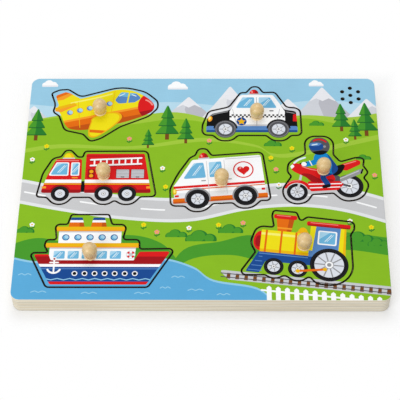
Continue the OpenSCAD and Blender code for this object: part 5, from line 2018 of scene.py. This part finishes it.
@dataclass
class ContactSprings:
    """The two coiled springs behind the cells, each a wire that narrows towards its cell."""

    wire_r: float = 0.32
    turns: float = 4.0
    flat_turns: float = 0.8
    steps: int = 24
    around: int = 10

    def coil(self, points: np.ndarray) -> tuple[np.ndarray, np.ndarray]:
        """Winds a wire in the space of one solid spring. Its middle goes round the axis while the radius
        and the height go evenly from one end to the other, but for the flat turns at both ends.

        Args:
            points: the solid spring's points, in millimetres.

        Returns:
            The wire's points and its triangles.
        """
        low, high = points.min(0), points.max(0)
        x, z = (low[0] + high[0]) / 2, (low[2] + high[2]) / 2
        ends = [np.ptp(points[np.abs(points[:, 1] - y) < 0.05][:, 0]) / 2 for y in (low[1], high[1])]
        share = np.linspace(0, 1, int(self.turns * self.steps) + 1)
        turn = (2 * np.pi * self.turns * share)[:, None]
        climb = np.clip((share * self.turns - self.flat_turns) / (self.turns - 2 * self.flat_turns), 0, 1)
        y = low[1] + self.wire_r + (high[1] - low[1] - 2 * self.wire_r) * climb
        r = ends[0] + (ends[1] - ends[0]) * climb - self.wire_r
        a = np.arange(self.around) * 2 * np.pi / self.around
        across = r[:, None] + self.wire_r * np.cos(a)
        along = y[:, None] + self.wire_r * np.sin(a)
        at = np.stack([x + across * np.cos(turn), along, z + across * np.sin(turn)], 2).reshape(-1, 3)
        fan, last = np.arange(1, self.around - 1), len(at) - self.around
        start_cap = np.stack([0 * fan, fan, fan + 1], 1)
        end_cap = np.stack([0 * fan, fan + 1, fan], 1) + last
        return at, np.vstack([tube(len(share), self.around)[:, [0, 2, 1]], start_cap, end_cap])

    def build(self, material: bpy.types.Material) -> bpy.types.Object:
        """Winds both springs as one piece.

        Args:
            material: the wire's material.

        Returns:
            The springs' object.
        """
        points = node_points("contact_springs") / MM
        middle = (points[:, 0].min() + points[:, 0].max()) / 2
        left, left_tris = self.coil(points[points[:, 0] < middle])
        right, right_tris = self.coil(points[points[:, 0] > middle])
        tris = np.vstack([left_tris, right_tris + len(left)])
        made = make_mesh("coiled_springs", np.vstack([left, right]), tris, smooth=True)
        made.data.materials.append(material)
        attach(made, "board")
        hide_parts("contact_springs")
        return made


@dataclass(frozen=True)
class Lamp:
    """A round soft lamp that shines at the origin."""

    name: str
    at: Spot
    size: float
    power: float

    def build(self) -> None:
        """Hangs the lamp in its place."""
        lamp = bpy.data.lights.new(self.name, "AREA")
        lamp.shape, lamp.size, lamp.energy = "DISK", self.size, self.power
        made = bpy.data.objects.new(self.name, lamp)
        turn = Vector(self.at).to_track_quat("Z", "Y").to_matrix().to_4x4()
        made.matrix_world = Matrix.Translation(self.at) @ turn
        bpy.context.scene.collection.objects.link(made)


@dataclass
class Studio:
    """The floor, the light and the camera. The lamps' places are in metres, the rest in millimetres."""

    target: Spot = (-1.30, -17.40, 18.0)
    distance: float = 1111.7
    elevation: float = 55.30
    azimuth: float = 1.46
    roll: float = -1.138
    focal: float = 121.4
    floor_z: float = -0.05
    floor_half: float = 3000.0
    floor_glow: float = 0.20
    floor_grey: float = 0.8
    sky_tint: Spot = (0.97, 0.985, 1.0)
    sky_power: float = 0.66
    board_half: Point = (150.0, 112.5)
    fade: Point = (0.0, 24.0)
    lamps: tuple[Lamp, ...] = (
        Lamp("key", (0.0, 0.85, 1.52), 1.1, 7.4), Lamp("fill", (-0.75, -0.95, 0.5), 0.9, 6.3))

    def camera(self) -> None:
        """Puts the camera on a ray from its target, and turns it about that ray."""
        e, a, r = (math.radians(x) for x in (self.elevation, self.azimuth, self.roll))
        back = Vector((math.sin(a) * math.cos(e), -math.cos(a) * math.cos(e), math.sin(e)))
        right = Vector((math.cos(a), math.sin(a), 0))
        up = back.cross(right)
        right, up = math.cos(r) * right + math.sin(r) * up, math.cos(r) * up - math.sin(r) * right
        lens = bpy.data.cameras.new("camera")
        lens.lens, lens.sensor_width = self.focal, 36.0
        lens.clip_start, lens.clip_end = 0.01, 20.0
        made = bpy.data.objects.new("camera", lens)
        turn = Matrix((right, up, back)).transposed().to_4x4()
        made.matrix_world = Matrix.Translation((Vector(self.target) + back * self.distance) * MM) @ turn
        bpy.context.scene.collection.objects.link(made)
        bpy.context.scene.camera = made

    def floor(self) -> None:
        """Lays a white floor that takes the shadow."""
        half = self.floor_half
        at = np.column_stack([bar(-half, -half, half, half), np.full(4, self.floor_z)])
        made = make_mesh("floor", at, np.array([[0, 1, 2, 3]]))
        made.data.materials.append(self.floor_white())

    def floor_white(self) -> bpy.types.Material:
        """A white that fades out into the white round it. Only the camera sees it, and only from above, so
        that the back keeps its light and its view from below.

        Returns:
            The material.
        """
        material = bpy.data.materials.new("floor_white")
        material.use_nodes = True
        tree = Tree(material.node_tree)
        white = tree.add("BsdfDiffuse", {}, {"Color": (*[self.floor_grey] * 3, 1.0)}).outputs[0]
        glow = tree.add("Emission", {}, {"Color": (1, 1, 1, 1), "Strength": self.floor_glow}).outputs[0]
        lit = tree.add("AddShader", {}, {0: white, 1: glow}).outputs[0]
        clear = tree.add("BsdfTransparent").outputs[0]
        above = tree.math("SUBTRACT", 1.0, tree.add("NewGeometry").outputs["Backfacing"])
        seen = tree.math("MULTIPLY", above, tree.add("LightPath").outputs["Is Camera Ray"])
        place = tree.add("TexCoord").outputs["Object"]
        beside, before = (tree.math("SUBTRACT", tree.math("ABSOLUTE", axis), half * MM)
                          for axis, half in zip(tree.parts(place), self.board_half))
        near, end = (distance * MM for distance in self.fade)
        faded = tree.span(tree.math("MAXIMUM", beside, before), near, end, 1.0, 0.0)
        share = tree.math("MULTIPLY", seen, faded)
        both = tree.add("MixShader", {}, {0: share, 1: clear, 2: lit})
        tree.end(tree.add("OutputMaterial"), both.outputs[0])
        return material

    def sky(self) -> None:
        """Lights the scene with a pale sky, which the camera and mirroring surfaces see as white."""
        world = bpy.data.worlds.new("studio")
        bpy.context.scene.world = world
        world.use_nodes = True
        tree = Tree(world.node_tree)
        path = tree.add("LightPath").outputs
        mirrored = tree.math("MAXIMUM", path["Is Glossy Ray"], path["Is Transmission Ray"])
        seen = tree.math("MAXIMUM", path["Is Camera Ray"], mirrored)
        plain = tree.add("Background", {}, {
            "Color": (*self.sky_tint, 1.0), "Strength": self.sky_power}).outputs[0]
        white = tree.add("Background", {}, {"Color": (1, 1, 1, 1), "Strength": 1.0}).outputs[0]
        both = tree.add("MixShader", {}, {0: seen, 1: plain, 2: white})
        tree.end(tree.add("OutputWorld"), both.outputs[0])

    def build(self) -> None:
        """Builds the studio."""
        bpy.context.scene.view_settings.view_transform = "Standard"
        self.camera()
        self.floor()
        self.sky()
        for lamp in self.lamps:
            lamp.build()


@dataclass
class Puzzle:
    """The whole peg puzzle."""

    drawings: tuple[Picture, ...] = (
        Airplane(), PoliceCar(), FireEngine(), Ambulance(), Motorbike(), Ship(), Locomotive())
    board_half: Point = (150.0, 112.5)
    corner_r: float = 7.2
    edge_r: float = 0.7
    knob_hole_r: float = 4.6
    saw_burn: float = 0.94
    # painted contact shade along the back board's bottom edge
    underside_shade: float = 0.5
    cell_base: float = 0.6
    cell_cap: float = 1.9
    cell_band: float = 13.0

    @staticmethod
    def report(made: bpy.types.Object) -> None:
        """Logs a finished piece."""
        log.info("%s: %d faces", made.name, len(made.data.polygons))

    @staticmethod
    def dress(finish: Finish, names: Sequence[str]) -> None:
        """Gives the slots of several CAD nodes one finish, and logs each of them.

        Args:
            finish: the finish.
            names: the nodes.
        """
        material = finish.build()
        for name in names:
            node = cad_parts[name]
            if not node.material_slots:
                node.data.materials.append(material)
            for slot in node.material_slots:
                slot.material = material
            log.info("%s: %s", name, finish.name)

    def nodes(self, part: str) -> list[str]:
        """The seven nodes of one part of the vehicles."""
        return [f"{drawing.name}_{part}" for drawing in self.drawings]

    def print_pictures(self) -> None:
        """Prints the board and its seven pieces."""
        material = PrintFinish().build()
        scenery = Scenery().patches()
        self.report(PrintedSheet("front_board", "board", scenery, keep_edge=2.5, corner_r=self.corner_r,
                                 edge_r=self.edge_r).build(material))
        for drawing in self.drawings:
            knob = (*knob_middle(drawing.name), self.knob_hole_r)
            patches = scenery + drawing.patches()
            self.report(PrintedSheet(f"{drawing.name}_piece", drawing.name, patches, knob).build(material))

    @staticmethod
    def plywood(name: str, node: str, **rest: Union[float, Point]) -> Plywood:
        """Plywood whose plies fill a node's height."""
        base, top = (corner.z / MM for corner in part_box(node))
        return Plywood(name, base=base, thickness=top - base, **rest)

    def dress_wood(self) -> None:
        """Dresses the boards and the wooden pieces. The front board is burnt inside its outer edge only."""
        half = (self.board_half[0] - self.corner_r, self.board_half[1] - self.corner_r)
        # The back board's bottom edge gets painted contact shade.
        looks = {"front_board": {"burnt": self.saw_burn, "burnt_half": half}, "floor_board": {},
                 "core_board": {}, "back_board": {"painted_bottom_shade": self.underside_shade}}
        for name, look in looks.items():
            self.dress(self.plywood(f"{name}_plywood", name, **look), [name])
        self.dress(self.plywood("piece_plywood", "ship_piece", burnt=self.saw_burn), self.nodes("piece"))

    def dress_metal(self) -> None:
        """Dresses the screws, the contacts and the speaker's metal, and winds the springs."""
        screws = ["back_screws", "box_screws", "circuit_screws", "door_screw", *self.nodes("screw")]
        self.dress(Metal(), [*screws, "contact_plates"])
        self.dress(Metal("basket_steel", (150, 150, 152), (120, 120, 120), 0.4), ["speaker_basket"])
        self.dress(Metal("magnet_iron", (96, 96, 98), (70, 70, 72), 0.5), ["speaker_magnet"])
        wire = Metal("spring_wire", (206, 206, 204), (176, 172, 164), 0.26)
        self.report(ContactSprings().build(wire.build()))

    def dress_electrics(self) -> None:
        """Dresses the plastics, the circuit, the speaker's film and foam, and the wires."""
        self.dress(Moulded(), ["battery_box"])
        self.dress(Moulded("door_plastic", (52, 53, 57), (62, 63, 67), 0.42), ["battery_door"])
        self.dress(CircuitFinish(), ["circuit_board"])
        self.dress(Moulded("sensor_resin", (150, 84, 66), (128, 66, 52), 0.22, 900.0, 0.01, 0.2),
                   self.nodes("sensor"))
        self.dress(Moulded("chip_epoxy", (24, 24, 27), (36, 36, 40), 0.5, 1200.0),
                   ["sound_chip", "amplifier_chip"])
        self.dress(Moulded("resistor_ceramic", (70, 48, 34), (92, 66, 46), 0.5), ["resistors"])
        self.dress(Moulded("capacitor_sleeve", (28, 42, 92), (38, 54, 110), 0.3), ["storage_capacitor"])
        self.dress(Moulded("speaker_film", (191, 191, 184), (172, 172, 166), 0.3, 700.0), ["speaker_cone"])
        self.dress(Moulded("foam", (58, 58, 60), (84, 84, 86), 0.9, 2600.0, 0.3, 0.9), ["speaker_gasket"])
        self.dress(Moulded("red_wire", (190, 30, 28), (168, 24, 24), 0.4), ["sensor_wires", "speaker_wires"])
        self.dress(Moulded("black_wire", (28, 28, 30), (40, 40, 42), 0.4), ["battery_wires"])

    def dress_cells(self) -> None:
        """Dresses the two cells, of which the right one lies the other way round."""
        for name, turned_round in (("left_cell", False), ("right_cell", True)):
            low, high = (corner.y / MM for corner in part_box(name))
            start, end, split = low + self.cell_base, high - self.cell_cap, high - self.cell_band
            inks = (CellFinish.one, CellFinish.two)
            if turned_round:
                start, end, split = low + self.cell_cap, high - self.cell_base, low + self.cell_band
                inks = inks[::-1]
            self.dress(CellFinish(f"{name}_jacket", start, end, split, *inks), [name])

    def build(self) -> None:
        """Builds every part."""
        self.print_pictures()
        for drawing in self.drawings:
            self.report(Knob(drawing.name).build())
        self.dress_wood()
        self.dress_metal()
        self.dress_electrics()
        self.dress_cells()


def main() -> None:
    """Builds the studio and the puzzle."""
    logging.basicConfig(level=logging.INFO, format="%(name)s: %(message)s")
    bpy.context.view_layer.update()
    Studio().build()
    Puzzle().build()
    bpy.context.view_layer.update()


if __name__ == "__main__":
    main()
